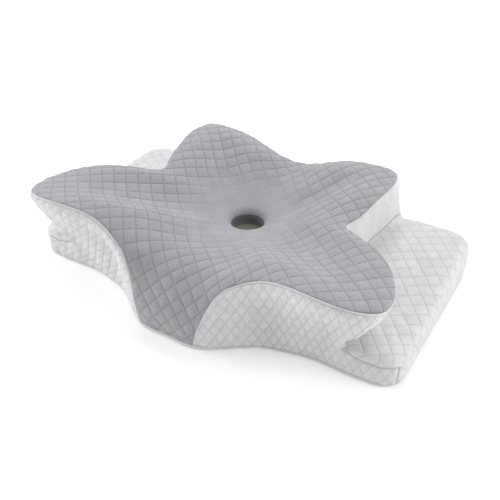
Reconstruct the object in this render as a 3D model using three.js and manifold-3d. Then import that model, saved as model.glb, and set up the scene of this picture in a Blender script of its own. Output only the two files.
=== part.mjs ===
// Contoured memory foam neck pillow: a foam core in a thin liner, inside a removable quilted cover
// with a grey crown, white side panels and a zip across the rear. Millimetres, +Z up.
// Origin: on the floor under the middle of the object's bounding box.
// +X runs along the length, +Y points to the zip side and -Y to the neck lobe.
import * as THREE from 'three';
import { mergeVertices } from 'three/addons/utils/BufferGeometryUtils.js';
import Module from 'manifold-3d';

const wasm = await Module();
wasm.setup();

// ---------------------------------------------------------------- driving dimensions
const LENGTH = 600;
const BACK_Y = 182;
const SLAB_FRONT_Y = -120;
const SLAB_CORNER = 33;
const SLAB_HEIGHT_FRONT = 45;
const SLAB_HEIGHT_BACK = 65;
const CROWN_SETBACK = 4;

const WELL_Y = 23;
const WELL_RADIUS = 24;
const WELL_FLOOR_Z = 59;
const WELL_RIM_Z = 80;

const COVER_THICKNESS = 2.2;
const LINER_THICKNESS = 0.8;
const LAYER_GAP = 0.5;
const SEAM_GAP = 0.35;
const PIPING_RADIUS = 1.3;
const PIPING_GAP = 0.5;

const BASE_SEAM_NECK_Z = 8;
const BASE_SEAM_FRONT_Z = 5;
const BASE_SEAM_Z = 10;
const SLAB_SEAM_Z = 33;
const SLAB_SEAM_RISE = 11;
const ZIP_TOP_Z = 28;
const ZIP_HALF_LENGTH = 225;

// The crown, round the well. Each row: bearing from the well in degrees (-90 is the neck, 0 the
// side, 90 the rear), radius of its edge, height of its edge, height of its crest.
const CROWN = [
  [-90, 190, 66, 105],
  [-78, 193, 70, 107],
  [-68, 203, 94, 112],
  [-58, 213, 120, 124],
  [-49, 239, 135, 136],
  [-41, 284, 138, 140],
  [-32, 314, 129, 136],
  [-22, 293, 125, 133],
  [-13, 237, 128, 130],
  [-3, 166, 120, 119],
  [8, 165, 121, 121],
  [22, 187, 131, 132],
  [34, 213, 136, 138],
  [45, 226, 136, 139],
  [57, 222, 133, 135],
  [73, 205, 116, 118],
  [90, 195, 106, 107],
];
// Bearing and radius of the floor outline where the neck lobe runs out in front of the slab.
const NECK_OUTLINE = [
  [-90, 208],
  [-78, 211],
  [-69, 204],
  [-60, 198],
  [-51, 201],
  [-43, 217],
  [-35, 249],
  [-28, 303],
  [-20, 330],
];
// Bearing and radius of the foot of the wall, where it stands on the shelf.
const WALL_FOOT = [
  [-31, 250],
  [-24, 212],
  [-14, 183],
  [-2, 171],
  [8, 174],
  [18, 184],
  [27, 201],
  [34, 219],
  [40, 241],
  [44, 262],
];
// Bearing and place along the profile of the seam round the grey crown. It climbs from the floor
// beside the neck lobe to the crown's edge.
const CROWN_SEAM = [
  [-78, 22.1],
  [-76.5, 17],
  [-75, 14.7],
  [-73, 12.8],
  [-71.3, 11.9],
  [-68.5, 11.3],
  [-65, 11],
  [-35, 11],
  [-25, 11.3],
  [90, 11.3],
];

// Bearings of the seams between the panels
const NECK_SEAM = -78;
const SLOT_END = -32.5;
const FRONT_CORNER = -23.5;
const WING_SEAM = -16;
const REAR_SEAM = 45;
const BACK_CORNER = 31;
const ZIP_END = THREE.MathUtils.radToDeg(Math.atan2(BACK_Y - WELL_Y, ZIP_HALF_LENGTH));
const LINER_SLIT = 60;

// ---------------------------------------------------------------- curve helpers
const clamp01 = (t) => Math.min(1, Math.max(0, t));

function smoothstep(from, to, x) {
  const t = clamp01((x - from) / (to - from));
  return t * t * (3 - 2 * t);
}

// Smooth lesser of two lengths, rounded over the width k
function smoothMin(a, b, k) {
  const h = clamp01(0.5 + (0.5 * (b - a)) / k);
  return b * (1 - h) + a * h - k * h * (1 - h);
}

function hermite(stations, column, slopes, x) {
  const last = stations.length - 2;
  let i = 0;
  while (i < last && x > stations[i + 1][0]) i += 1;
  const [x0, x1] = [stations[i][0], stations[i + 1][0]];
  const h = x1 - x0;
  const t = clamp01((x - x0) / h);
  const s = 1 - t;
  return (1 + 2 * t) * s * s * stations[i][column] + t * s * s * h * slopes[i]
    + t * t * (3 - 2 * t) * stations[i + 1][column] - t * t * s * h * slopes[i + 1];
}

// Cubic spline through one column of a station table, level at both ends
function spline(stations, column) {
  const n = stations.length;
  const h = stations.slice(1).map((row, i) => row[0] - stations[i][0]);
  const d = h.map((step, i) => (stations[i + 1][column] - stations[i][column]) / step);
  const upper = new Array(n).fill(0);
  const slopes = new Array(n).fill(0);
  for (let i = 1; i < n - 1; i += 1) {
    const pivot = 2 * (h[i] + h[i - 1]) - h[i] * upper[i - 1];
    upper[i] = h[i - 1] / pivot;
    slopes[i] = (3 * (h[i] * d[i - 1] + h[i - 1] * d[i]) - h[i] * slopes[i - 1]) / pivot;
  }
  for (let i = n - 2; i > 0; i -= 1) slopes[i] -= upper[i] * slopes[i + 1];
  return (x) => hermite(stations, column, slopes, x);
}

// Curve through one column of a station table that never overshoots a station
function monotone(stations, column) {
  const n = stations.length;
  const h = stations.slice(1).map((row, i) => row[0] - stations[i][0]);
  const d = h.map((step, i) => (stations[i + 1][column] - stations[i][column]) / step);
  const slopes = new Array(n).fill(0);
  for (let i = 1; i < n - 1; i += 1) {
    if (d[i - 1] * d[i] > 0) {
      const w0 = 2 * h[i] + h[i - 1];
      const w1 = h[i] + 2 * h[i - 1];
      slopes[i] = (w0 + w1) / (w0 / d[i - 1] + w1 / d[i]);
    }
  }
  return (x) => hermite(stations, column, slopes, x);
}

const crownRadius = spline(CROWN, 1);
const edgeHeight = spline(CROWN, 2);
const crestHeight = spline(CROWN, 3);
const neckRadius = spline(NECK_OUTLINE, 1);
const footRadius = monotone(WALL_FOOT, 1);
const seamPlace = monotone(CROWN_SEAM, 1);

// Distance from the well to the slab's rounded rectangle along a bearing, by bisection
function slabRadius(bearing) {
  const angle = THREE.MathUtils.degToRad(bearing);
  const middleY = (SLAB_FRONT_Y + BACK_Y) / 2;
  const halfY = (BACK_Y - SLAB_FRONT_Y) / 2;
  let inside = 0;
  let outside = LENGTH;
  for (let step = 0; step < 40; step += 1) {
    const r = (inside + outside) / 2;
    const x = Math.abs(r * Math.cos(angle)) - (LENGTH / 2 - SLAB_CORNER);
    const y = Math.abs(WELL_Y + r * Math.sin(angle) - middleY) - (halfY - SLAB_CORNER);
    if (Math.hypot(Math.max(x, 0), Math.max(y, 0)) <= SLAB_CORNER) inside = r;
    else outside = r;
  }
  return inside;
}

// ---------------------------------------------------------------- the outer surface
// Control points [radius, height] of the profile at one bearing, from the well's floor, up the
// well, over the crown, down the wall, along the shelf where there is one, and under the base.
function profile(bearing) {
  const neck = 1 - smoothstep(-80, -62, bearing);
  const rearLimit = (BACK_Y - CROWN_SETBACK - WELL_Y)
    / Math.max(Math.sin(THREE.MathUtils.degToRad(bearing)), 0.01);
  const edge = bearing > 20 ? smoothMin(crownRadius(bearing), rearLimit, 16) : crownRadius(bearing);
  const edgeZ = edgeHeight(bearing);
  const crestZ = crestHeight(bearing);

  const ontoSlab = smoothstep(-31, -27, bearing);
  const base = neckRadius(bearing) * (1 - ontoSlab) + slabRadius(bearing) * ontoSlab;
  const foot = Math.min(footRadius(bearing), base - 6);
  const shelfZ = SLAB_HEIGHT_FRONT
    + (SLAB_HEIGHT_BACK - SLAB_HEIGHT_FRONT) * smoothstep(-22, 22, bearing);
  const shelf = smoothstep(-34.5, -31, bearing) * (1 - smoothstep(36, 44, bearing));

  const rimR = WELL_RADIUS + 22;
  const rimZ = WELL_RIM_Z + 8;
  const points = [
    [0, WELL_FLOOR_Z],
    [WELL_RADIUS * 0.6, WELL_FLOOR_Z],
    [WELL_RADIUS, WELL_FLOOR_Z],
    [WELL_RADIUS, WELL_FLOOR_Z + 2],
    [WELL_RADIUS, WELL_RIM_Z - 10],
    [WELL_RADIUS + 5, WELL_RIM_Z + 1],
    [rimR, WELL_RIM_Z + 5],
    [rimR + (edge - rimR) * 0.22, rimZ + (crestZ - rimZ) * 0.18],
    [rimR + (edge - rimR) * 0.48, rimZ + (crestZ - rimZ) * 0.62],
    [rimR + (edge - rimR) * 0.74, crestZ + 1],
    [edge - 14, crestZ + 1 - 9 * neck],
    [edge + 1 + 3 * neck, edgeZ + 4 + 8 * neck],
  ];

  const flare = 8 * smoothstep(20, 38, bearing) * (1 - smoothstep(60, 85, bearing));
  const undercut = smoothstep(-32, -27, bearing) * (1 - smoothstep(-16, -8, bearing));
  const topR = edge + 2 + 10 * neck + flare * (1 - 0.6 * smoothstep(46, 52, bearing))
    - 6 * undercut;
  const topZ = edgeZ - 12 + 6 * neck;
  points.push([topR, topZ]);

  // Where there is a shelf, the wall tucks in under the crown's edge and stands on the slab.
  // In front, the wing's wall stands further out and ends in a firmer lip.
  const tuck = edge - foot;
  const drop = edgeZ - shelfZ;
  const hang = 1 - smoothstep(-24, -18, bearing);
  const shelved = [
    [edge + 0.7 * flare - (0.08 + 0.07 * hang) * tuck - 8 * undercut, edgeZ - 0.34 * drop],
    [edge + 0.6 * flare - 0.28 * tuck - 5 * undercut, edgeZ - (0.62 - 0.16 * hang) * drop],
    [edge + 0.3 * flare - (0.62 - 0.24 * hang) * tuck, edgeZ - (0.82 - 0.2 * hang) * drop],
    [foot, shelfZ + 6 + 9 * hang],
    [foot + 4, shelfZ - 1],
    [(foot + base) / 2, shelfZ + 1],
    [base - 14, shelfZ - 1],
    [base, shelfZ - 4],
    [base, shelfZ / 2],
  ];
  // Elsewhere it leans straight down to the base, hollowed in front and full round the neck.
  const hollow = 14 * smoothstep(-66, -50, bearing) * (1 - smoothstep(-36, -32, bearing));
  const footZ = 14;
  const shares = [0.14, 0.28, 0.42, 0.55, 0.62, 0.7, 0.78, 0.86, 0.93];
  shares.forEach((t, i) => {
    const bow = (5 * neck - hollow) * Math.sin(Math.PI * t);
    const plainR = topR + (base - topR) * t + bow;
    const plainZ = topZ + (footZ - topZ) * t;
    points.push([
      shelved[i][0] * shelf + plainR * (1 - shelf),
      shelved[i][1] * shelf + plainZ * (1 - shelf),
    ]);
  });
  points.push([base, 9], [base - 1, 0], [base - 8, 0], [base * 0.7, 0], [base * 0.4, 0], [0, 0]);
  return points;
}

// Point [radius, height] at place u of a uniform cubic B-spline that starts and ends on its ends
function along(points, u) {
  const last = points.length - 1;
  const k = Math.min(Math.floor(u), last - 1);
  const t = u - k;
  const at = (i, axis) => {
    if (i < 0) return 2 * points[0][axis] - points[1][axis];
    if (i > last) return 2 * points[last][axis] - points[last - 1][axis];
    return points[i][axis];
  };
  const weights = [
    (1 - t) ** 3,
    3 * t ** 3 - 6 * t ** 2 + 4,
    -3 * t ** 3 + 3 * t ** 2 + 3 * t + 1,
    t ** 3,
  ];
  return [0, 1].map((axis) => weights.reduce((sum, w, i) => sum + w * at(k - 1 + i, axis), 0) / 6);
}

// Place on the lower wall where the profile crosses a height
function placeAtHeight(points, z) {
  let above = 19;
  let below = 24;
  for (let step = 0; step < 40; step += 1) {
    const u = (above + below) / 2;
    if (along(points, u)[1] > z) above = u;
    else below = u;
  }
  return above;
}

// ---------------------------------------------------------------- the grid of the surface
const CROWN_EDGE = 11.3;
const WALL_END = 21;
const WELL_ROWS = [0, 1.8, 3, 4.1];
const CROWN_STEPS = 7;
const WALL_ROWS = [12.8, 14.4, 15.9];
const SLAB_EDGE = 20.2;
const SHELF_SHARES = [0.3, 0.7, 1];

// Row numbers where panels end
const FLOOR_ROW = 1;
const RIM_ROW = WELL_ROWS.length - 1;
const SEAM_ROW = RIM_ROW + CROWN_STEPS;
const UNDERSIDE_ROW = SEAM_ROW + WALL_ROWS.length;
const SLAB_EDGE_ROW = UNDERSIDE_ROW + SHELF_SHARES.length;
const ZIP_TOP_ROW = SLAB_EDGE_ROW + 1;
const BASE_ROW = ZIP_TOP_ROW + 1;

// The seam at the slab's edge runs level along its front, climbs to the inner end of the slot, and
// keeps to the rounding of the edge elsewhere.
function slabEdgePlace(bearing, points, rounding) {
  const rise = SLAB_SEAM_RISE * clamp01((-29 - bearing) / 3.5) ** 2;
  const level = placeAtHeight(points, SLAB_SEAM_Z + rise);
  const inFront = smoothstep(-38, SLOT_END, bearing) * (1 - smoothstep(-23, 0, bearing));
  return rounding + (level - rounding) * inFront;
}

// Places along the profile of every row of the grid at one bearing
function rowPlaces(bearing, points) {
  const baseSeamZ = BASE_SEAM_FRONT_Z
    + (BASE_SEAM_NECK_Z - BASE_SEAM_FRONT_Z) * (1 - smoothstep(NECK_SEAM, -70, bearing))
    + (BASE_SEAM_Z - BASE_SEAM_FRONT_Z) * smoothstep(0, 28, bearing);
  const baseSeam = placeAtHeight(points, baseSeamZ);
  const seam = bearing <= NECK_SEAM ? baseSeam : seamPlace(bearing);
  const rim = WELL_ROWS[RIM_ROW];
  const places = [...WELL_ROWS];
  for (let i = 1; i <= CROWN_STEPS; i += 1) places.push(rim + ((seam - rim) * i) / CROWN_STEPS);
  const zipTop = bearing > 20 ? placeAtHeight(points, ZIP_TOP_Z) : baseSeam - 1;
  const squeeze = (u) => seam + ((u - CROWN_EDGE) * (zipTop - seam)) / (WALL_END - CROWN_EDGE);
  WALL_ROWS.forEach((u) => places.push(seam < zipTop ? squeeze(u) : seam));
  const underside = places[UNDERSIDE_ROW];
  const slabEdge = seam < zipTop ? slabEdgePlace(bearing, points, squeeze(SLAB_EDGE)) : seam;
  SHELF_SHARES.forEach((share) => places.push(underside + (slabEdge - underside) * share));
  places.push(Math.max(zipTop, seam), baseSeam, 23, 24, points.length - 1);
  return places;
}

const HALF_BEARINGS = [
  -90, -84, NECK_SEAM, -76.5, -75, -73, -70.5, -67, -62, -56, -49, -42.5, -37, SLOT_END, -30.6,
  -28.7, -26, FRONT_CORNER, -20, WING_SEAM, -9, -1, 8, 16, 23, 27, BACK_CORNER, ZIP_END, 40,
  REAR_SEAM, 51, LINER_SLIT, 74, 90,
];
// Every column: its folded bearing and whether it is on the right (1) or mirrored to the left (-1)
const columns = [
  ...HALF_BEARINGS.map((bearing) => ({ bearing, side: 1 })),
  ...HALF_BEARINGS.slice(1, -1).reverse().map((bearing) => ({ bearing, side: -1 })),
];

// One welded mesh of the whole outer surface. Rows meet in a point at the poles and beside the
// neck, so corners that coincide share one vertex.
const vertices = [];
const vertexAt = columns.map(({ bearing, side }) => {
  const points = profile(bearing);
  const angle = THREE.MathUtils.degToRad(bearing);
  return rowPlaces(bearing, points).map((u) => {
    const [r, z] = along(points, u);
    const x = Math.abs(bearing) === 90 ? 0 : side * r * Math.cos(angle);
    const spot = new THREE.Vector3(x, WELL_Y + r * Math.sin(angle), Math.max(z, 0));
    let id = vertices.findIndex((other) => other.distanceTo(spot) < 0.01);
    if (id < 0) id = vertices.push(spot) - 1;
    return id;
  });
});

// The cells of the grid. Each holds its bearings, its side, its row and its triangles.
const cells = [];
columns.forEach((column, c) => {
  const next = columns[(c + 1) % columns.length];
  const nextIds = vertexAt[(c + 1) % columns.length];
  const onLeft = column.side < 0 || next.side < 0;
  for (let row = 0; row < vertexAt[c].length - 1; row += 1) {
    const [a, d] = [vertexAt[c][row], vertexAt[c][row + 1]];
    const [b, e] = [nextIds[row], nextIds[row + 1]];
    const pair = onLeft ? [[a, d, b], [d, e, b]] : [[a, d, e], [a, e, b]];
    cells.push({
      low: Math.min(column.bearing, next.bearing),
      high: Math.max(column.bearing, next.bearing),
      side: onLeft ? -1 : 1,
      row,
      triangles: pair.filter((t) => new Set(t).size === 3),
    });
  }
});

// For each vertex, the step that takes every face round it one millimetre outwards, as near as
// one vertex can, so that nested layers stay parallel
const facesRound = vertices.map(() => []);
cells.forEach((cell) => cell.triangles.forEach((t) => {
  const [p, q, r] = t.map((id) => vertices[id]);
  const face = q.clone().sub(p).cross(r.clone().sub(p)).normalize();
  t.forEach((id) => facesRound[id].push(face));
}));
const STIFFENING = 0.02;
const steps = facesRound.map((faces) => {
  const sum = new THREE.Vector3();
  const m = [STIFFENING, 0, 0, 0, STIFFENING, 0, 0, 0, STIFFENING];
  faces.forEach((face) => {
    const n = face.toArray();
    sum.add(face);
    for (let i = 0; i < 9; i += 1) m[i] += (n[Math.floor(i / 3)] * n[i % 3]) / faces.length;
  });
  const mean = sum.clone().divideScalar(faces.length);
  const rest = mean.clone().normalize().multiplyScalar(STIFFENING);
  return mean.add(rest).applyMatrix3(new THREE.Matrix3(...m).invert());
});
const normals = steps.map((step) => step.clone().normalize());

// ---------------------------------------------------------------- mesh builders
const group = new THREE.Group();

const MATERIALS = {
  greyKnit: new THREE.MeshStandardMaterial({ color: 0xb1b0b5, roughness: 0.9 }),
  whiteKnit: new THREE.MeshStandardMaterial({ color: 0xe3e3e6, roughness: 0.9 }),
  oliveKnit: new THREE.MeshStandardMaterial({ color: 0x8a8870, roughness: 0.95 }),
  jersey: new THREE.MeshStandardMaterial({ color: 0xf2f0ea, roughness: 0.95 }),
  foam: new THREE.MeshStandardMaterial({ color: 0xf3ead0, roughness: 1 }),
  tape: new THREE.MeshStandardMaterial({ color: 0xdcdcdf, roughness: 0.8 }),
  nylon: new THREE.MeshStandardMaterial({ color: 0xd5d5d8, roughness: 0.45 }),
  zinc: new THREE.MeshStandardMaterial({ color: 0xb9bbbe, roughness: 0.3, metalness: 1 }),
  satin: new THREE.MeshStandardMaterial({ color: 0xf6f6f4, roughness: 0.5 }),
};

function addMesh(name, geometry, material) {
  const mesh = new THREE.Mesh(geometry, MATERIALS[material]);
  mesh.name = name;
  group.add(mesh);
}

function geometryOf(positions, triangles) {
  const geometry = new THREE.BufferGeometry();
  const flat = positions.flatMap((p) => [p.x, p.y, p.z]);
  geometry.setAttribute('position', new THREE.Float32BufferAttribute(flat, 3));
  geometry.setIndex(triangles.flat());
  geometry.computeVertexNormals();
  return geometry;
}

const sunk = (id, depth) => vertices[id].clone().addScaledVector(steps[id], -depth);

// A sheet that follows the outer surface over the cells that belong to it, from one depth to
// another, with its edge drawn in so that neighbouring sheets don't touch
function sheet(belongs, outer, inner) {
  const own = cells.filter(belongs);
  const triangles = own.flatMap((cell) => cell.triangles);
  const open = new Map();
  triangles.forEach((t) => t.forEach((from, i) => {
    const to = t[(i + 1) % 3];
    if (!open.delete(`${to}-${from}`)) open.set(`${from}-${to}`, [from, to]);
  }));
  const rim = new Set([...open.values()].flat());
  const inward = new Map([...rim].map((id) => [id, new THREE.Vector3()]));
  own.forEach((cell) => {
    const ids = new Set(cell.triangles.flat());
    const middle = new THREE.Vector3();
    ids.forEach((id) => middle.addScaledVector(vertices[id], 1 / ids.size));
    ids.forEach((id) => {
      if (rim.has(id)) inward.get(id).add(middle.clone().sub(vertices[id]).normalize());
    });
  });
  const number = new Map([...new Set(triangles.flat())].map((id, i) => [id, i]));
  const count = number.size;
  const layer = (depth) => [...number.keys()].map((id) => {
    const p = sunk(id, depth);
    if (!rim.has(id)) return p;
    return p.addScaledVector(inward.get(id).clone().normalize(), SEAM_GAP);
  });
  const faces = [];
  triangles.forEach((t) => {
    const [a, b, c] = t.map((id) => number.get(id));
    faces.push([a, b, c], [c + count, b + count, a + count]);
  });
  // Both sheets along a seam split their edge walls the same way, so the walls stay parallel.
  open.forEach(([from, to]) => {
    const [a, b] = [number.get(from), number.get(to)];
    if (from < to) faces.push([b, a, a + count], [b, a + count, b + count]);
    else faces.push([b, a, b + count], [a, a + count, b + count]);
  });
  return geometryOf([...layer(outer), ...layer(inner)], faces);
}

// ---------------------------------------------------------------- foam and liner
const LINER_OUTER = COVER_THICKNESS + LAYER_GAP;
const LINER_INNER = LINER_OUTER + LINER_THICKNESS;
const CORE_DEPTH = LINER_INNER + LAYER_GAP;

function foamCore() {
  const skin = vertices.map((_, id) => sunk(id, CORE_DEPTH));
  return geometryOf(skin, cells.flatMap((cell) => cell.triangles));
}

// The foam goes into the liner through a slit behind the zip.
const inSlit = (cell) => cell.row === ZIP_TOP_ROW && cell.low >= LINER_SLIT;

addMesh('foam_core', foamCore(), 'foam');
addMesh('inner_liner', sheet((cell) => !inSlit(cell), LINER_OUTER, LINER_INNER), 'jersey');

// ---------------------------------------------------------------- cover panels
function addPanel(name, belongs, material) {
  addMesh(name, sheet(belongs, 0, COVER_THICKNESS), material);
}

const rows = (cell, from, to) => cell.row >= from && cell.row < to;
const bearings = (cell, from, to) => cell.low >= from && cell.high <= to;

function inFrontPanel(cell) {
  if (bearings(cell, NECK_SEAM, SLOT_END)) return rows(cell, SEAM_ROW, BASE_ROW);
  const wing = bearings(cell, SLOT_END, WING_SEAM) && rows(cell, SEAM_ROW, UNDERSIDE_ROW);
  const slabFront = bearings(cell, SLOT_END, FRONT_CORNER) && rows(cell, SLAB_EDGE_ROW, BASE_ROW);
  return wing || slabFront;
}

function inShelfPanel(cell) {
  const top = bearings(cell, SLOT_END, REAR_SEAM) && rows(cell, UNDERSIDE_ROW, SLAB_EDGE_ROW);
  const side = bearings(cell, FRONT_CORNER, BACK_CORNER) && rows(cell, SLAB_EDGE_ROW, BASE_ROW);
  return top || side;
}

function inSidePanel(cell) {
  return bearings(cell, WING_SEAM, REAR_SEAM) && rows(cell, SEAM_ROW, UNDERSIDE_ROW);
}

function inRearPanel(cell) {
  const wall = bearings(cell, REAR_SEAM, 90) && rows(cell, SEAM_ROW, SLAB_EDGE_ROW);
  const aboveZip = bearings(cell, BACK_CORNER, 90) && rows(cell, SLAB_EDGE_ROW, ZIP_TOP_ROW);
  const besideZip = bearings(cell, BACK_CORNER, ZIP_END) && rows(cell, ZIP_TOP_ROW, BASE_ROW);
  return wall || aboveZip || besideZip;
}

addPanel('crown_panel', (cell) => rows(cell, RIM_ROW, SEAM_ROW), 'greyKnit');
addPanel('well_sleeve', (cell) => rows(cell, FLOOR_ROW, RIM_ROW), 'greyKnit');
addPanel('well_floor_patch', (cell) => cell.row < FLOOR_ROW, 'oliveKnit');
[['right', 1], ['left', -1]].forEach(([word, side]) => {
  addPanel(`front_panel_${word}`, (cell) => cell.side === side && inFrontPanel(cell), 'whiteKnit');
  addPanel(`side_panel_${word}`, (cell) => cell.side === side && inSidePanel(cell), 'whiteKnit');
  addPanel(`shelf_panel_${word}`, (cell) => cell.side === side && inShelfPanel(cell), 'whiteKnit');
});
addPanel('rear_panel', inRearPanel, 'whiteKnit');
addPanel('bottom_panel', (cell) => cell.row >= BASE_ROW, 'whiteKnit');

// Round piping that stands on the seam round the crown, from one side of the neck to the other
function crownPiping() {
  const SIDES = 6;
  const lift = PIPING_RADIUS + PIPING_GAP;
  const run = [...columns.keys()].filter((c) => columns[c].bearing >= NECK_SEAM);
  const ids = run.map((c) => vertexAt[c][SEAM_ROW]);
  const spine = ids.map((id) => sunk(id, -lift));
  const positions = [];
  spine.forEach((spot, i) => {
    const ahead = spine[Math.min(i + 1, spine.length - 1)];
    const behind = spine[Math.max(i - 1, 0)];
    const tangent = ahead.clone().sub(behind).normalize();
    const across = normals[ids[i]].clone().cross(tangent).normalize();
    const up = tangent.clone().cross(across);
    for (let s = 0; s < SIDES; s += 1) {
      const angle = (2 * Math.PI * s) / SIDES;
      positions.push(spot.clone()
        .addScaledVector(across, PIPING_RADIUS * Math.cos(angle))
        .addScaledVector(up, PIPING_RADIUS * Math.sin(angle)));
    }
  });
  const faces = [];
  for (let i = 0; i < spine.length - 1; i += 1) {
    for (let s = 0; s < SIDES; s += 1) {
      const [a, b] = [i * SIDES + s, i * SIDES + ((s + 1) % SIDES)];
      faces.push([a, b, a + SIDES], [b, b + SIDES, a + SIDES]);
    }
  }
  const end = (spine.length - 1) * SIDES;
  for (let s = 1; s < SIDES - 1; s += 1) {
    faces.push([0, s + 1, s], [end, end + s, end + s + 1]);
  }
  return geometryOf(positions, faces);
}
addMesh('crown_piping', crownPiping(), 'whiteKnit');

// ---------------------------------------------------------------- zip
const ZIP_Z = (BASE_SEAM_Z + ZIP_TOP_Z) / 2;
const TAPE_THICKNESS = 1.1;
const TAPE_SETBACK = 0.9;
const TAPE_EDGE_GAP = 0.6;
const TAPE_HALF_LENGTH = ZIP_HALF_LENGTH - 0.8;
const TAPE_MIDDLE_GAP = 0.4;
const COIL_WIDTH = 2;
const COIL_HEIGHT = 2;
const COIL_MIDDLE_GAP = 0.3;
const COIL_BACK = BACK_Y - 0.6;
const COIL_HALF_LENGTH = 214.6;

const SLIDER_X = 208;
const SLIDER_LENGTH = 12;
const SLIDER_WALL = 1;
const SLIDER_CLEARANCE = 0.45;
const BRIDGE_LENGTH = 9.2;
const BRIDGE_WIDTH = 2.4;
const BRIDGE_HEADROOM = 2.2;
const TAB_THICKNESS = 1.3;
const TAB_LENGTH = 26;
const TAB_HALF_WIDTH = 3.2;
const TAB_WINDOW_LENGTH = 7.5;
const TAB_WINDOW_HALF_WIDTH = 1.7;
const STOP_LENGTH = 3.5;

function boxBetween(low, high) {
  const size = high.map((v, i) => v - low[i]);
  const geometry = new THREE.BoxGeometry(...size);
  geometry.translate(...low.map((v, i) => v + size[i] / 2));
  return geometry;
}

// A plan outline in X and Z, extruded along Y from one plane to another
function extrudedOutward(shape, fromY, toY) {
  const settings = { depth: toY - fromY, bevelEnabled: false, curveSegments: 6 };
  const geometry = new THREE.ExtrudeGeometry(shape, settings);
  geometry.rotateX(Math.PI / 2);
  geometry.translate(0, toY, 0);
  return geometry;
}

function roundedRectangle(x0, z0, x1, z1, r) {
  const shape = new THREE.Shape();
  shape.moveTo(x0 + r, z0);
  shape.lineTo(x1 - r, z0);
  shape.absarc(x1 - r, z0 + r, r, -Math.PI / 2, 0);
  shape.lineTo(x1, z1 - r);
  shape.absarc(x1 - r, z1 - r, r, 0, Math.PI / 2);
  shape.lineTo(x0 + r, z1);
  shape.absarc(x0 + r, z1 - r, r, Math.PI / 2, Math.PI);
  shape.lineTo(x0, z0 + r);
  shape.absarc(x0 + r, z0 + r, r, Math.PI, 1.5 * Math.PI);
  return shape;
}

function solid(geometry) {
  geometry.deleteAttribute('normal');
  geometry.deleteAttribute('uv');
  const merged = mergeVertices(geometry, 1e-4);
  const vertProperties = new Float32Array(merged.attributes.position.array);
  const triVerts = new Uint32Array(merged.index.array);
  return new wasm.Manifold(new wasm.Mesh({ numProp: 3, vertProperties, triVerts }));
}

function geometryFrom(manifold) {
  const { vertProperties, triVerts } = manifold.getMesh();
  const geometry = new THREE.BufferGeometry();
  geometry.setAttribute('position', new THREE.Float32BufferAttribute(vertProperties, 3));
  geometry.setIndex([...triVerts]);
  geometry.computeVertexNormals();
  return geometry;
}

function addTape(name, lowZ, highZ) {
  const outerY = BACK_Y - TAPE_SETBACK;
  const low = [-TAPE_HALF_LENGTH, outerY - TAPE_THICKNESS, lowZ];
  addMesh(name, boxBetween(low, [TAPE_HALF_LENGTH, outerY, highZ]), 'tape');
}

// Half of the meshed coil: a bar with its outer corners taken off
function addCoil(name, lowZ) {
  const bevel = 0.5;
  const section = new THREE.Shape();
  section.moveTo(0, 0);
  section.lineTo(COIL_WIDTH, 0);
  section.lineTo(COIL_WIDTH, COIL_HEIGHT - bevel);
  section.lineTo(COIL_WIDTH - bevel, COIL_HEIGHT);
  section.lineTo(bevel, COIL_HEIGHT);
  section.lineTo(0, COIL_HEIGHT - bevel);
  const settings = { depth: 2 * COIL_HALF_LENGTH, bevelEnabled: false };
  const geometry = new THREE.ExtrudeGeometry(section, settings);
  // The section's width goes to Z, its height to Y and its depth to X.
  const axes = new THREE.Matrix4().makeBasis(
    new THREE.Vector3(0, 0, 1),
    new THREE.Vector3(0, 1, 0),
    new THREE.Vector3(-1, 0, 0),
  );
  geometry.applyMatrix4(axes);
  geometry.translate(COIL_HALF_LENGTH, COIL_BACK, lowZ);
  addMesh(name, geometry, 'nylon');
}

addTape('zip_tape_lower', BASE_SEAM_Z + TAPE_EDGE_GAP, ZIP_Z - TAPE_MIDDLE_GAP / 2);
addTape('zip_tape_upper', ZIP_Z + TAPE_MIDDLE_GAP / 2, ZIP_TOP_Z - TAPE_EDGE_GAP);
addCoil('zip_coil_lower', ZIP_Z - COIL_MIDDLE_GAP / 2 - COIL_WIDTH);
addCoil('zip_coil_upper', ZIP_Z + COIL_MIDDLE_GAP / 2);

const coilHalfWidth = COIL_WIDTH + COIL_MIDDLE_GAP / 2;
const channelHalf = coilHalfWidth + SLIDER_CLEARANCE;
const sliderHalf = channelHalf + SLIDER_WALL;
const sliderFootY = BACK_Y - 0.5;
const channelTopY = COIL_BACK + COIL_HEIGHT + SLIDER_CLEARANCE;
const sliderTopY = channelTopY + SLIDER_WALL;
const bridgeRoofY = sliderTopY + BRIDGE_HEADROOM;
const tabAxisY = sliderTopY + BRIDGE_HEADROOM / 2;

// The slider: a channel astride the coil, with a bridge on its back that holds the pull tab
function zipSlider() {
  const half = SLIDER_LENGTH / 2;
  const outline = roundedRectangle(
    SLIDER_X - half, ZIP_Z - sliderHalf, SLIDER_X + half, ZIP_Z + sliderHalf, 1.8,
  );
  const body = solid(extrudedOutward(outline, sliderFootY, sliderTopY));
  const channel = solid(boxBetween(
    [SLIDER_X - half - 1, sliderFootY - 1, ZIP_Z - channelHalf],
    [SLIDER_X + half + 1, channelTopY, ZIP_Z + channelHalf],
  ));
  const bridge = solid(boxBetween(
    [SLIDER_X - BRIDGE_LENGTH / 2, sliderTopY - 0.3, ZIP_Z - BRIDGE_WIDTH / 2],
    [SLIDER_X + BRIDGE_LENGTH / 2, bridgeRoofY + SLIDER_WALL, ZIP_Z + BRIDGE_WIDTH / 2],
  ));
  const eye = solid(boxBetween(
    [SLIDER_X - BRIDGE_LENGTH / 2 + 1.2, sliderTopY, ZIP_Z - BRIDGE_WIDTH],
    [SLIDER_X + BRIDGE_LENGTH / 2 - 1.2, bridgeRoofY, ZIP_Z + BRIDGE_WIDTH],
  ));
  return geometryFrom(body.subtract(channel).add(bridge).subtract(eye));
}

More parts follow.
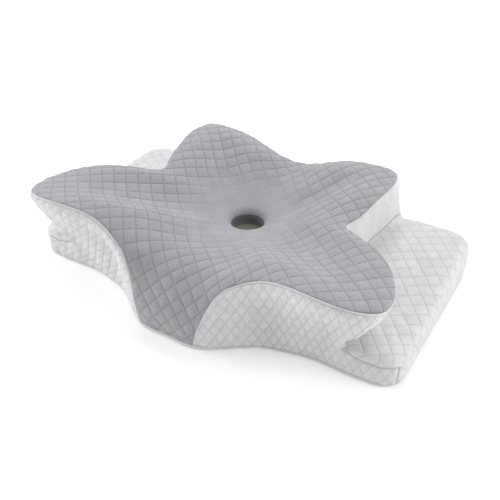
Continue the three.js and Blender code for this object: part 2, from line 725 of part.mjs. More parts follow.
// The pull tab: a flat tongue whose cross bar lies in the bridge. At rest it points to -X.
function zipPullTab() {
  const bar = TAB_THICKNESS / 2;
  const tongue = roundedRectangle(
    SLIDER_X - TAB_LENGTH, ZIP_Z - TAB_HALF_WIDTH, SLIDER_X + bar, ZIP_Z + TAB_HALF_WIDTH, 0.6,
  );
  const hole = new THREE.Path();
  hole.moveTo(SLIDER_X - bar, ZIP_Z - TAB_WINDOW_HALF_WIDTH);
  hole.lineTo(SLIDER_X - bar, ZIP_Z + TAB_WINDOW_HALF_WIDTH);
  hole.lineTo(SLIDER_X - TAB_WINDOW_LENGTH, ZIP_Z + TAB_WINDOW_HALF_WIDTH);
  hole.lineTo(SLIDER_X - TAB_WINDOW_LENGTH, ZIP_Z - TAB_WINDOW_HALF_WIDTH);
  tongue.holes.push(hole);
  return extrudedOutward(tongue, tabAxisY - bar, tabAxisY + bar);
}

function zipStop(side) {
  const near = side * (COIL_HALF_LENGTH + 0.4);
  const far = near + side * STOP_LENGTH;
  const outline = roundedRectangle(
    Math.min(near, far), ZIP_Z - coilHalfWidth - 0.6,
    Math.max(near, far), ZIP_Z + coilHalfWidth + 0.6, 0.8,
  );
  return extrudedOutward(outline, sliderFootY, BACK_Y + 2);
}

addMesh('zip_slider', zipSlider(), 'zinc');
addMesh('zip_pull_tab', zipPullTab(), 'zinc');
addMesh('zip_stop_right', zipStop(1), 'zinc');
addMesh('zip_stop_left', zipStop(-1), 'zinc');

// ---------------------------------------------------------------- care label
const LABEL_X = -255;
const LABEL_WIDTH = 24;
const LABEL_LOW_Z = 4;
const LABEL_HIGH_Z = 26;
const LABEL_THICKNESS = 0.6;
const LABEL_GAP = 0.4;

addMesh('care_label', boxBetween(
  [LABEL_X - LABEL_WIDTH / 2, BACK_Y + LABEL_GAP, LABEL_LOW_Z],
  [LABEL_X + LABEL_WIDTH / 2, BACK_Y + LABEL_GAP + LABEL_THICKNESS, LABEL_HIGH_Z],
), 'satin');

export default group;
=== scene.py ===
"""Contour neck pillow: the looks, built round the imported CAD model. Lengths are millimetres in the
tables and formulas, and metres once they reach Blender. +X runs from wing to wing, +Y towards the
zip, +Z up. Bearings are degrees round the well: -90 is the neck, 0 the side, 90 the rear, and the
left half mirrors the right."""

import math

import bmesh
import bpy
import numpy as np
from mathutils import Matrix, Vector, kdtree


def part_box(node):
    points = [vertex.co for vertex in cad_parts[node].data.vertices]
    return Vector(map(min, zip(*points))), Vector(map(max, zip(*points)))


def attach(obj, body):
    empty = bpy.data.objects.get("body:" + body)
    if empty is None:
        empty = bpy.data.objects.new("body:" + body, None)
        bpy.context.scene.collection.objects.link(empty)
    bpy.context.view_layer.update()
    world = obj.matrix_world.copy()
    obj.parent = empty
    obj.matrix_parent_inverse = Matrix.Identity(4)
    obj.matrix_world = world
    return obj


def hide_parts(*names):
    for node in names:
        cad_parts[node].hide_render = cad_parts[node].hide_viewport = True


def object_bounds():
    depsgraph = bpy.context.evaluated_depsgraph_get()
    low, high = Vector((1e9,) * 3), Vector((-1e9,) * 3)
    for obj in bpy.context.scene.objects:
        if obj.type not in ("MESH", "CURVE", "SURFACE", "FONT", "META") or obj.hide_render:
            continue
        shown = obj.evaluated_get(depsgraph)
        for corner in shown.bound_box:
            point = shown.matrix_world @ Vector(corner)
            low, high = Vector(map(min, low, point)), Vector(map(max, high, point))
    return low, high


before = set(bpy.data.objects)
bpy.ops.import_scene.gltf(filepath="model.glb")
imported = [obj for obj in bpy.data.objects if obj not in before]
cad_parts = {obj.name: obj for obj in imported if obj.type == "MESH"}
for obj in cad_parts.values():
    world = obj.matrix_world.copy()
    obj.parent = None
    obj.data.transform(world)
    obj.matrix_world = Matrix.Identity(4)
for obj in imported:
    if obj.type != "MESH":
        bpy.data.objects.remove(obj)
cad_low, cad_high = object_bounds()

MM = 0.001
RNG = np.random.default_rng(7)


def box_mm(node):
    """Lowest and highest corner of a CAD node, in millimetres."""
    low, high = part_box(node)
    return np.array(low) / MM, np.array(high) / MM


# ---------------- driving dimensions
LENGTH = (cad_high[0] - cad_low[0]) / MM
TAPE_SETBACK = 0.9    # the zip's tapes lie this far inside the rear wall
BACK_Y = box_mm("zip_tape_upper")[1][1] + TAPE_SETBACK
SLAB_FRONT_Y = -120
SLAB_CORNER = 33
SLAB_HEIGHT_FRONT = 45
SLAB_HEIGHT_BACK = 65
CROWN_SETBACK = 4

WELL_Y = 23
WELL_RADIUS = 24
WELL_FLOOR_Z = 59
WELL_RIM_Z = 80

COVER_THICKNESS = 2.2
LINER_THICKNESS = 0.8
LAYER_GAP = 0.5
SEAM_GAP = 0.3

BASE_SEAM_NECK_Z = 8
BASE_SEAM_FRONT_Z = 5
BASE_SEAM_Z = 10
SLAB_SEAM_Z = 33
SLAB_SEAM_RISE = 11
ZIP_TOP_Z = 28
ZIP_HALF_LENGTH = 225

# Bearing, radius of the crown's edge, height of the edge, height of the crest
CROWN = np.array([
    [-90, 190, 66, 105],
    [-78, 193, 70, 107],
    [-68, 203, 94, 112],
    [-58, 213, 120, 124],
    [-49, 239, 135, 136],
    [-41, 284, 138, 140],
    [-32, 314, 129, 136],
    [-22, 293, 125, 133],
    [-13, 237, 128, 130],
    [-3, 166, 120, 119],
    [8, 165, 121, 121],
    [22, 187, 131, 132],
    [34, 213, 136, 138],
    [45, 226, 136, 139],
    [57, 222, 133, 135],
    [73, 205, 116, 118],
    [90, 195, 106, 107],
], float)
# Bearing and radius of the floor outline round the neck lobe
NECK_OUTLINE = np.array([
    [-90, 208], [-78, 211], [-69, 204], [-60, 198], [-51, 201], [-43, 217], [-35, 249], [-28, 303],
    [-20, 330],
], float)
# Bearing and radius of the foot of the wall on the shelf
WALL_FOOT = np.array([
    [-31, 250], [-24, 212], [-14, 183], [-2, 171], [8, 174], [18, 184], [27, 201], [34, 219],
    [40, 241], [44, 262],
], float)
# Bearing and place along the profile of the seam round the crown
CROWN_SEAM = np.array([
    [-78, 22.1], [-76.5, 17], [-75, 14.7], [-73, 12.8], [-71.3, 11.9], [-68.5, 11.3], [-65, 11],
    [-35, 11], [-25, 11.3], [90, 11.3],
], float)

# Bearings of the seams between the panels
NECK_SEAM = -78
SLOT_END = -32.5
FRONT_CORNER = -23.5
WING_SEAM = -16
REAR_SEAM = 45
BACK_CORNER = 31
ZIP_END = math.degrees(math.atan2(BACK_Y - WELL_Y, ZIP_HALF_LENGTH))
LINER_SLIT = 60

# Spans of bearings over which the floor outline and the profiles change
ONTO_SLAB = (-31, -27)
NECK_SPAN = (-80, -62)
SHELF_RISE = (-22, 22)
SHELF_SPANS = ((-34.5, -31), (36, 44))
FLARE_SPANS = ((20, 38), (60, 85))
FLARE_EASE = (46, 52)
UNDERCUT_SPANS = ((-32, -27), (-16, -8))
WING_SPAN = (-24, -18)
HOLLOW_SPANS = ((-66, -50), (-36, -32))
REAR_START = 20

HALVINGS = 40    # steps of each search by halving


# ---------------- curve helpers
def smoothstep(start, end, x):
    t = np.clip((x - start) / (end - start), 0, 1)
    return t * t * (3 - 2 * t)


def window(spans, x):
    """Rises from 0 to 1 over the first span, and falls back over the second."""
    rise, fall = spans
    return smoothstep(*rise, x) * (1 - smoothstep(*fall, x))


def smooth_min(a, b, width):
    """Lesser of two lengths, rounded over a width."""
    h = np.clip(0.5 + 0.5 * (b - a) / width, 0, 1)
    return b * (1 - h) + a * h - width * h * (1 - h)


def hermite(xs, ys, slopes):
    def curve(x):
        i = np.clip(np.searchsorted(xs, x) - 1, 0, len(xs) - 2)
        h = xs[i + 1] - xs[i]
        t = np.clip((x - xs[i]) / h, 0, 1)
        s = 1 - t
        return (
            (1 + 2 * t) * s**2 * ys[i] + t * s**2 * h * slopes[i]
            + t**2 * (3 - 2 * t) * ys[i + 1] - t**2 * s * h * slopes[i + 1]
        )
    return curve


def level_spline(table, column):
    """Cubic spline through one column of a station table, level at both ends."""
    xs, ys = table[:, 0], table[:, column]
    n, h = len(xs), np.diff(xs)
    d = np.diff(ys) / h
    matrix, right = np.eye(n), np.zeros(n)
    for i in range(1, n - 1):
        matrix[i, i - 1:i + 2] = h[i], 2 * (h[i] + h[i - 1]), h[i - 1]
        right[i] = 3 * (h[i] * d[i - 1] + h[i - 1] * d[i])
    return hermite(xs, ys, np.linalg.solve(matrix, right))


def monotone(table):
    """Curve through a two-column table that never overshoots a station."""
    xs, ys = table[:, 0], table[:, 1]
    h = np.diff(xs)
    d = np.diff(ys) / h
    slopes = np.zeros(len(xs))
    for i in range(1, len(xs) - 1):
        if d[i - 1] * d[i] > 0:
            w0, w1 = 2 * h[i] + h[i - 1], h[i] + 2 * h[i - 1]
            slopes[i] = (w0 + w1) / (w0 / d[i - 1] + w1 / d[i])
    return hermite(xs, ys, slopes)


crown_radius = level_spline(CROWN, 1)
edge_height = level_spline(CROWN, 2)
crest_height = level_spline(CROWN, 3)
neck_radius = level_spline(NECK_OUTLINE, 1)
foot_radius = monotone(WALL_FOOT)
seam_place = monotone(CROWN_SEAM)


def slab_radius(bearings):
    """Distance from the well to the slab's rounded rectangle along each bearing."""
    angle = np.radians(bearings)
    middle_y, half_y = (SLAB_FRONT_Y + BACK_Y) / 2, (BACK_Y - SLAB_FRONT_Y) / 2
    inside, outside = np.zeros_like(angle), np.full_like(angle, LENGTH)
    for _ in range(HALVINGS):
        r = (inside + outside) / 2
        x = np.abs(r * np.cos(angle)) - (LENGTH / 2 - SLAB_CORNER)
        y = np.abs(WELL_Y + r * np.sin(angle) - middle_y) - (half_y - SLAB_CORNER)
        within = np.hypot(np.maximum(x, 0), np.maximum(y, 0)) <= SLAB_CORNER
        inside, outside = np.where(within, r, inside), np.where(within, outside, r)
    return inside


# ---------------- the outer surface
REAR_ROUNDING = 16    # how softly the crown's edge meets the limit of the rear wall


def base_radius(b):
    onto_slab = smoothstep(*ONTO_SLAB, b)
    return neck_radius(b) * (1 - onto_slab) + slab_radius(b) * onto_slab


def edge_radius(b):
    rear_limit = (BACK_Y - CROWN_SETBACK - WELL_Y) / np.maximum(np.sin(np.radians(b)), 0.01)
    limited = smooth_min(crown_radius(b), rear_limit, REAR_ROUNDING)
    return np.where(b > REAR_START, limited, crown_radius(b))


# Shares of the way down a plain wall of its control points, from the crown's edge to the base
WALL_SHARES = [0.14, 0.28, 0.42, 0.55, 0.62, 0.7, 0.78, 0.86, 0.93]
RIM_WIDTH = 22
RIM_RISE = 8
CREST_INSET = 14
FLARE = 8
HOLLOW_DEPTH = 14
NECK_FULLNESS = 5
WALL_BOTTOM_Z = 14


def profiles(b):
    """Control points [radius, height] of the profile at each bearing, from the well's floor, over
    the crown, down the wall, along the shelf where there is one, and under the base."""
    neck = 1 - smoothstep(*NECK_SPAN, b)
    edge, edge_z, crest_z = edge_radius(b), edge_height(b), crest_height(b)
    base = base_radius(b)
    foot = np.minimum(foot_radius(b), base - 6)
    shelf_z = SLAB_HEIGHT_FRONT + (SLAB_HEIGHT_BACK - SLAB_HEIGHT_FRONT) * smoothstep(*SHELF_RISE, b)
    shelf = window(SHELF_SPANS, b)

    rim_r, rim_z = WELL_RADIUS + RIM_WIDTH, WELL_RIM_Z + RIM_RISE
    points = [
        [0, WELL_FLOOR_Z],
        [WELL_RADIUS * 0.6, WELL_FLOOR_Z],
        [WELL_RADIUS, WELL_FLOOR_Z],
        [WELL_RADIUS, WELL_FLOOR_Z + 2],
        [WELL_RADIUS, WELL_RIM_Z - 10],
        [WELL_RADIUS + 5, WELL_RIM_Z + 1],
        [rim_r, WELL_RIM_Z + 5],
        [rim_r + (edge - rim_r) * 0.22, rim_z + (crest_z - rim_z) * 0.18],
        [rim_r + (edge - rim_r) * 0.48, rim_z + (crest_z - rim_z) * 0.62],
        [rim_r + (edge - rim_r) * 0.74, crest_z + 1],
        [edge - CREST_INSET, crest_z + 1 - 9 * neck],
        [edge + 1 + 3 * neck, edge_z + 4 + 8 * neck],
    ]
    flare = FLARE * window(FLARE_SPANS, b)
    undercut = window(UNDERCUT_SPANS, b)
    top_r = edge + 2 + 10 * neck + flare * (1 - 0.6 * smoothstep(*FLARE_EASE, b)) - 6 * undercut
    top_z = edge_z - 12 + 6 * neck
    points.append([top_r, top_z])

    # Where there is a shelf, the wall tucks in under the crown's edge and stands on the slab.
    # In front, the wing's wall stands further out and ends in a firmer lip.
    tuck, drop = edge - foot, edge_z - shelf_z
    hang = 1 - smoothstep(*WING_SPAN, b)
    shelved = [
        [edge + 0.7 * flare - (0.08 + 0.07 * hang) * tuck - 8 * undercut, edge_z - 0.34 * drop],
        [edge + 0.6 * flare - 0.28 * tuck - 5 * undercut, edge_z - (0.62 - 0.16 * hang) * drop],
        [edge + 0.3 * flare - (0.62 - 0.24 * hang) * tuck, edge_z - (0.82 - 0.2 * hang) * drop],
        [foot, shelf_z + 6 + 9 * hang],
        [foot + 4, shelf_z - 1],
        [(foot + base) / 2, shelf_z + 1],
        [base - 14, shelf_z - 1],
        [base, shelf_z - 4],
        [base, shelf_z / 2],
    ]
    # Elsewhere it leans straight down to the base, hollowed in front and full round the neck.
    hollow = HOLLOW_DEPTH * window(HOLLOW_SPANS, b)
    for t, (shelved_r, shelved_z) in zip(WALL_SHARES, shelved):
        bow = (NECK_FULLNESS * neck - hollow) * math.sin(math.pi * t)
        plain_r, plain_z = top_r + (base - top_r) * t + bow, top_z + (WALL_BOTTOM_Z - top_z) * t
        points.append([
            shelved_r * shelf + plain_r * (1 - shelf),
            shelved_z * shelf + plain_z * (1 - shelf),
        ])
    points += [[base, 9], [base - 1, 0], [base - 8, 0], [base * 0.7, 0], [base * 0.4, 0], [0, 0]]
    flat = [np.broadcast_to(value, b.shape) for point in points for value in point]
    return np.stack(flat, 1).reshape(len(b), len(points), 2)


def along(points, u):
    """Points [column, row, radius or height] at places u of uniform cubic B-splines, which start
    and end on their own ends."""
    ends = [2 * points[:, :1] - points[:, 1:2], points, 2 * points[:, -1:] - points[:, -2:-1]]
    padded = np.concatenate(ends, 1)
    k = np.clip(np.floor(u).astype(int), 0, points.shape[1] - 2)
    t = (u - k)[..., None]
    rows = np.arange(len(points))[:, None]
    weights = [
        (1 - t)**3, 3 * t**3 - 6 * t**2 + 4, -3 * t**3 + 3 * t**2 + 3 * t + 1, t**3,
    ]
    return sum(w * padded[rows, k + i] for i, w in enumerate(weights)) / 6


LOWER_WALL = (19.0, 24.0)    # places between which a profile comes down to the base


def place_at_height(points, z):
    """Place on the lower wall where each profile crosses a height."""
    above, below = [np.full(len(points), place) for place in LOWER_WALL]
    for _ in range(HALVINGS):
        u = (above + below) / 2
        higher = along(points, u[:, None])[:, 0, 1] > z
        above, below = np.where(higher, u, above), np.where(higher, below, u)
    return above


# ---------------- the fine grid
FINE = 4                   # fine cells along each side of a coarse cell
COLUMN_STEP = 2.6          # width of a fine cell on the outline
BASE_WEIGHT = 0.8          # how much the floor outline counts in that width, beside the crown's edge
BEARING_SAMPLES = 3601
PLACE_SAMPLES = 1351
# Key places along a profile
CROWN_EDGE, UNDERSIDE, SLAB_EDGE, WALL_END = 11.3, 15.9, 20.2, 21
WELL_CORNER, SLEEVE_TOP = 1.8, 4.1
# Coarse rows of the well's floor, its lining, the crown, the wall, the shelf, the slab's side, the
# zip and the base
ROW_COUNTS = [2, 2, 33, 7, 12, 3, 2, 8]
BASE_ROWS = ROW_COUNTS[-1]
# Coarse row numbers where the panels end
(FLOOR_START, FLOOR_ROW, SLEEVE_ROW, SEAM_ROW, UNDERSIDE_ROW, SLAB_EDGE_ROW, ZIP_TOP_ROW, BASE_ROW,
 LAST_ROW) = [0, *(int(n) for n in np.cumsum(ROW_COUNTS))]


def coarse_bearings():
    """Bearings of the coarse columns of one half, evenly spaced along the outline between seams."""
    b = np.linspace(-90, 90, BEARING_SAMPLES)
    angle = np.radians(b)
    crown, base = [
        np.hypot(np.gradient(r * np.cos(angle)), np.gradient(r * np.sin(angle)))
        for r in (edge_radius(b), base_radius(b))]
    travelled = np.concatenate([[0], np.cumsum(np.maximum(crown, BASE_WEIGHT * base))[1:]])
    keys = [-90, NECK_SEAM, SLOT_END, FRONT_CORNER, WING_SEAM, BACK_CORNER, ZIP_END, REAR_SEAM,
            LINER_SLIT, 90]
    found = [-90.0]
    for start, end in zip(keys, keys[1:]):
        low, high = np.interp([start, end], b, travelled)
        count = max(1, round((high - low) / (COLUMN_STEP * FINE)))
        found += list(np.interp(np.linspace(low, high, count + 1)[1:], travelled, b))
        found[-1] = float(end)
    return np.array(found)


HALF = coarse_bearings()
HALF_COLUMNS = len(HALF) - 1
steps = np.arange(HALF_COLUMNS * FINE + 1) / FINE
half_bearings = np.interp(steps, np.arange(len(HALF)), HALF)
# The whole ring: up the right side, and back down the left
bearings = np.concatenate([half_bearings, half_bearings[-2:0:-1]])
sides = np.concatenate([np.ones(len(half_bearings)), -np.ones(len(half_bearings) - 2)])
COLUMNS = len(bearings)
COARSE_COLUMNS = COLUMNS // FINE


CLIMB_START = -29         # bearing where the seam at the slab's edge starts to climb
CLIMB_WIDTH = 3.5
LEVEL_SPANS = ((-38, SLOT_END), (-23, 0))
BASE_SEAM_SPAN = (0, 28)
NECK_BASE_SPAN = (NECK_SEAM, -70)


def slab_edge_place(points, b, rounding):
    """The seam at the slab's edge runs level along its front, climbs to the inner end of the slot,
    and keeps to the rounding of the edge elsewhere."""
    rise = SLAB_SEAM_RISE * np.clip((CLIMB_START - b) / CLIMB_WIDTH, 0, 1)**2
    level = place_at_height(points, SLAB_SEAM_Z + rise)
    return rounding + (level - rounding) * window(LEVEL_SPANS, b)


def place_rows(points, b):
    """Places along each profile of every fine row, evenly spaced along the cloth between seams."""
    base_seam_z = BASE_SEAM_FRONT_Z
    base_seam_z += (BASE_SEAM_Z - BASE_SEAM_FRONT_Z) * smoothstep(*BASE_SEAM_SPAN, b)
    base_seam_z += (BASE_SEAM_NECK_Z - BASE_SEAM_FRONT_Z) * (1 - smoothstep(*NECK_BASE_SPAN, b))
    base_seam = place_at_height(points, base_seam_z)
    seam = np.where(b <= NECK_SEAM, base_seam, seam_place(b))
    zip_top = np.where(b > REAR_START, place_at_height(points, ZIP_TOP_Z), base_seam - 1)
    last = np.full(len(b), points.shape[1] - 1.0)
    walled = seam < zip_top

    def squeezed(u):
        """A key place of the wall, moved into the room below the crown's seam."""
        below_seam = (u - CROWN_EDGE) * (zip_top - seam) / (WALL_END - CROWN_EDGE)
        return np.where(walled, seam + below_seam, seam)

    slab_edge = np.where(walled, slab_edge_place(points, b, squeezed(SLAB_EDGE)), seam)
    keys = [0 * last, 0 * last + WELL_CORNER, 0 * last + SLEEVE_TOP, seam, squeezed(UNDERSIDE),
            slab_edge, np.maximum(zip_top, seam), base_seam, last]
    dense_u = np.tile(np.linspace(0, points.shape[1] - 1, PLACE_SAMPLES), (len(b), 1))
    dense = along(points, dense_u)
    moves = np.linalg.norm(np.diff(dense, axis=1), axis=2)
    travelled = np.concatenate([np.zeros((len(b), 1)), np.cumsum(moves, 1)], 1)
    blocks = []
    for start, end, count in zip(keys, keys[1:], ROW_COUNTS):
        share = np.arange(count * FINE) / (count * FINE)
        if count == BASE_ROWS:
            share = share**2    # short steps where the base turns under
        block = []
        for c in range(len(b)):
            low, high = np.interp([start[c], end[c]], dense_u[c], travelled[c])
            block.append(np.interp(low + (high - low) * share, travelled[c], dense_u[c]))
        blocks.append(np.array(block))
    return np.concatenate([*blocks, last[:, None]], 1)


control = profiles(half_bearings)
half_places = place_rows(control, half_bearings)
half_points = along(control, half_places)
mirror = np.concatenate([np.arange(len(half_bearings)), np.arange(len(half_bearings) - 2, 0, -1)])
radius, height = half_points[mirror, :, 0], np.maximum(half_points[mirror, :, 1], 0)
ROWS = radius.shape[1]

angles = np.radians(bearings)[:, None]
surface = np.stack([
    sides[:, None] * radius * np.cos(angles), WELL_Y + radius * np.sin(angles), height], 2)


TINY = 1e-9      # keeps a division by a length away from zero
FOLDED = 1e-6    # area below which a grid cell counts as folded


def grid_normals(points):
    """Outward normals of the grid. Where the grid folds to nothing, the seam's normal stands in."""
    across = np.roll(points, -1, 0) - np.roll(points, 1, 0)
    down = np.gradient(points, axis=1)
    normal = np.cross(down, across)
    size = np.linalg.norm(normal, axis=2, keepdims=True)
    flat = size[..., 0] < FOLDED
    normal = normal / np.maximum(size, TINY)
    normal[flat] = np.repeat(normal[:, SEAM_ROW * FINE][:, None], points.shape[1], 1)[flat]
    normal[:, 0], normal[:, -1] = (0, 0, 1), (0, 0, -1)
    return normal


normals = grid_normals(surface)

# Length of cloth down each column from the top of the well's lining, and along the floor outline
# from the neck's middle, negative on the left
cloth_down = np.concatenate([
    np.zeros((COLUMNS, 1)), np.cumsum(np.linalg.norm(np.diff(surface, axis=1), axis=2), 1)], 1)
cloth_down -= cloth_down[:, SLEEVE_ROW * FINE][:, None]
floor_line = surface[:, BASE_ROW * FINE, :2]
cloth_round = np.concatenate([[0], np.cumsum(np.linalg.norm(np.diff(floor_line, axis=0), axis=1))])
half_round = cloth_round[len(half_bearings) - 1]
cloth_round = np.where(sides > 0, cloth_round, cloth_round - 2 * half_round)


# ---------------- quilting
TONE_COUNT = 64
CELL_TONES = RNG.random((TONE_COUNT, TONE_COUNT))
GROOVE_SHARPNESS = 0.6


def puff(quilt, share):
    """Height of the wadding, from 0 along a full groove to 1 in a diamond's middle. share says how
    deep each of the two families of grooves is."""
    across = [
        1 - deep + deep * np.abs(np.sin(np.pi * quilt[..., i]))**GROOVE_SHARPNESS
        for i, deep in enumerate(share)]
    return across[0] * across[1]


def cell_tone(quilt):
    """A random number from 0 to 1 for each diamond between the grooves."""
    return CELL_TONES[np.floor(quilt[..., 0]).astype(int) % TONE_COUNT,
                      np.floor(quilt[..., 1]).astype(int) % TONE_COUNT]


# The crown's cloth is drawn down into the well. Its grooves crowd together round the rim and fade
# there, and they wander a little from straight everywhere.
CROWN_PITCH = 18
GATHER_RADIUS = 30
CROWN_SHIFT = (0.3, 0.15)
CLOTH_IN_WELL = 12
RIM_GROOVES = 0.12
FADE_SPAN = (36, 135)
WANDER = 1.6
WANDER_X, WANDER_Y = (31, 57), (27, 63)


def crown_quilt():
    """For each point, its place across both families of grooves, in cells, and their depth."""
    reach = WELL_RADIUS - CLOTH_IN_WELL + cloth_down
    flat_radius = np.sqrt(reach**2 + GATHER_RADIUS**2)
    turn = np.where(sides > 0, np.radians(bearings), np.pi - np.radians(bearings))[:, None]
    x, y = flat_radius * np.cos(turn), flat_radius * np.sin(turn)
    x, y = (x + WANDER * np.sin(y / WANDER_X[0] + x / WANDER_X[1]),
            y + WANDER * np.sin(x / WANDER_Y[0] - y / WANDER_Y[1]))
    a = (x + y) / math.sqrt(2) / CROWN_PITCH + CROWN_SHIFT[0]
    b = (x - y) / math.sqrt(2) / CROWN_PITCH + CROWN_SHIFT[1]
    return np.stack([a, b, RIM_GROOVES + (1 - RIM_GROOVES) * smoothstep(*FADE_SPAN, reach)], 2)


# The wall's cloth is measured from the floor outline: s along it, t up the leaning wall.
WALL_PITCH = 13.6
WALL_UP, WALL_DOWN = math.radians(60), math.radians(63)
# The front panels are stretched across their hollow, so their grooves run straight. Both are cut
# with the cloth the same way round, so their grooves are not mirror images. Each family is given
# by the direction across its grooves and their pitch.
RIGHT_CLIMBING, RIGHT_CROSSING = ((0.88, -0.02, -0.47), 10.5), ((0.41, 0.79, 0.46), 10.5)
LEFT_CLIMBING, LEFT_CROSSING = ((0.9, 0.27, -0.35), 13.5), ((0.51, -0.33, -0.79), 9)
# Grooves that the right panel gains towards the wing's tip, and the stretch of x they come in
TIP_GROOVES = 5
TIP_SPAN = (120, 290)


def straight_grooves(direction, pitch):
    return sum(share * surface[..., i] for i, share in enumerate(direction)) / pitch


def wall_quilt():
    tangent = np.roll(floor_line, -1, 0) - np.roll(floor_line, 1, 0)
    tangent = sides[:, None] * tangent / np.linalg.norm(tangent, axis=1, keepdims=True)
    out = surface[..., :2] - floor_line[:, None]
    s = np.abs(cloth_round)[:, None] + np.einsum("crk,ck->cr", out, tangent)
    lean = np.einsum("crk,ck->cr", out, np.stack([-tangent[:, 1], tangent[:, 0]], 1))
    t = np.hypot(surface[..., 2], lean)
    a = (s * math.sin(WALL_UP) - t * math.cos(WALL_UP)) / WALL_PITCH
    b = (s * math.sin(WALL_DOWN) + t * math.cos(WALL_DOWN)) / WALL_PITCH

    right, front = (sides > 0)[:, None], (bearings < WING_SEAM)[:, None]
    gained = TIP_GROOVES * smoothstep(*TIP_SPAN, surface[..., 0])
    climbing = np.where(right, straight_grooves(*RIGHT_CLIMBING), straight_grooves(*LEFT_CLIMBING))
    crossing = np.where(
        right, straight_grooves(*RIGHT_CROSSING) + gained, straight_grooves(*LEFT_CROSSING))
    a, b = np.where(front, climbing, a), np.where(front, crossing, b)
    return np.stack([a, b, np.ones_like(a)], 2)


# The shelf's cloth: long grooves across the slab behind, and others along it in front
SHELF_PITCH = 17
SHELF_ACROSS, SHELF_ALONG = math.radians(33), math.radians(-50)
SHELF_TURN = (-70, 30)
SHALLOW, DEEP, DEEPENING = 0.3, 0.9, 0.6


def shelf_quilt():
    drop = SLAB_HEIGHT_FRONT - np.minimum(surface[..., 2], SLAB_HEIGHT_FRONT)
    x, y = np.abs(surface[..., 0]) + drop, surface[..., 1]
    a = (y * math.cos(SHELF_ACROSS) - x * math.sin(SHELF_ACROSS)) / SHELF_PITCH
    b = (y * math.cos(SHELF_ALONG) - x * math.sin(SHELF_ALONG)) / SHELF_PITCH
    return np.stack([a, b, np.ones_like(a)], 2)


def shelf_shares():
    """How deep the shelf's two families of grooves are, from front to rear."""
    turned = DEEPENING * smoothstep(*SHELF_TURN, surface[..., 1])
    return SHALLOW + turned, DEEP - turned


# ---------------- mesh helpers
def link(name, vertices, faces):
    """A new object from points in millimetres."""
    mesh = bpy.data.meshes.new(name)
    plain = [[int(corner) for corner in face] for face in faces]
    mesh.from_pydata(np.asarray(vertices, float) * MM, [], plain)
    mesh.update()
    piece = bpy.data.objects.new(name, mesh)
    bpy.context.scene.collection.objects.link(piece)
    return piece


# Angles from which an edge stays sharp: on most pieces, on the tapes and the label, on the coil
SMOOTH_ANGLE, SHEET_ANGLE, TURN_ANGLE = 50, 40, 60


def smooth(piece, angle=SMOOTH_ANGLE):
    piece.data.shade_smooth()
    piece.data.set_sharp_from_angle(angle=math.radians(angle))


def store(piece, name, kind, values):
    """Keeps values for each vertex, for the material to read."""
    attribute = piece.data.attributes.new(name, kind, "POINT")
    key = "vector" if kind == "FLOAT_VECTOR" else "value"
    attribute.data.foreach_set(key, np.asarray(values, np.float32).ravel())


def region(*blocks):
    """Mask over the coarse cells: each block gives its bearings, its rows and its side, which is
    1 for right, -1 for left and 0 for both."""
    mask = np.zeros((COARSE_COLUMNS, LAST_ROW), bool)
    starts = bearings[::FINE]
    ends = np.roll(starts, -1)
    low, high = np.minimum(starts, ends), np.maximum(starts, ends)
    cell_side = np.where(np.arange(COARSE_COLUMNS) < HALF_COLUMNS, 1, -1)
    slack = 1e-6    # room for rounding
    for from_bearing, to_bearing, from_row, to_row, side in blocks:
        columns = (low >= from_bearing - slack) & (high <= to_bearing + slack)
        if side:
            columns &= cell_side == side
        mask[np.ix_(columns, np.arange(from_row, to_row))] = True
    return mask


def vertex_id(column, row):
    return (column % COLUMNS) * ROWS + row


def cell_corners(mask, size):
    """Corner numbers of each cell of a mask, in order round its outward face."""
    c, r = np.nonzero(mask)
    c, r = c * size, r * size
    corners = [(c, r), (c, r + size), (c + size, r + size), (c + size, r)]
    return np.stack([vertex_id(x, y) for x, y in corners], 1)


def edge_run(a, b):
    """The fine vertices between two neighbouring coarse ones, both included."""
    (c0, r0), (c1, r1) = divmod(a, ROWS), divmod(b, ROWS)
    turn = (c1 - c0 + COLUMNS // 2) % COLUMNS - COLUMNS // 2
    return [
        vertex_id(c0 + turn * i // FINE, r0 + (r1 - r0) * i // FINE) for i in range(FINE + 1)
    ]


def open_edges(faces):
    """Directed edges that only one face uses."""
    edges = set()
    for face in faces.tolist():
        for a, b in zip(face, face[1:] + face[:1]):
            if (b, a) in edges:
                edges.remove((b, a))
            else:
                edges.add((a, b))
    return sorted(edges)


def distance_to(points, targets):
    """Distance from each point to the nearest target."""
    tree = kdtree.KDTree(len(targets))
    for i, point in enumerate(targets):
        tree.insert(point, i)
    tree.balance()
    return np.array([tree.find(point)[2] for point in points])


SEAM_ROLL_WIDTH = 5.0
SEAM_ROLL_DEPTH = 1.7
SEAM_FLATTENING = 0.6    # share of the puff that is lost at a seam


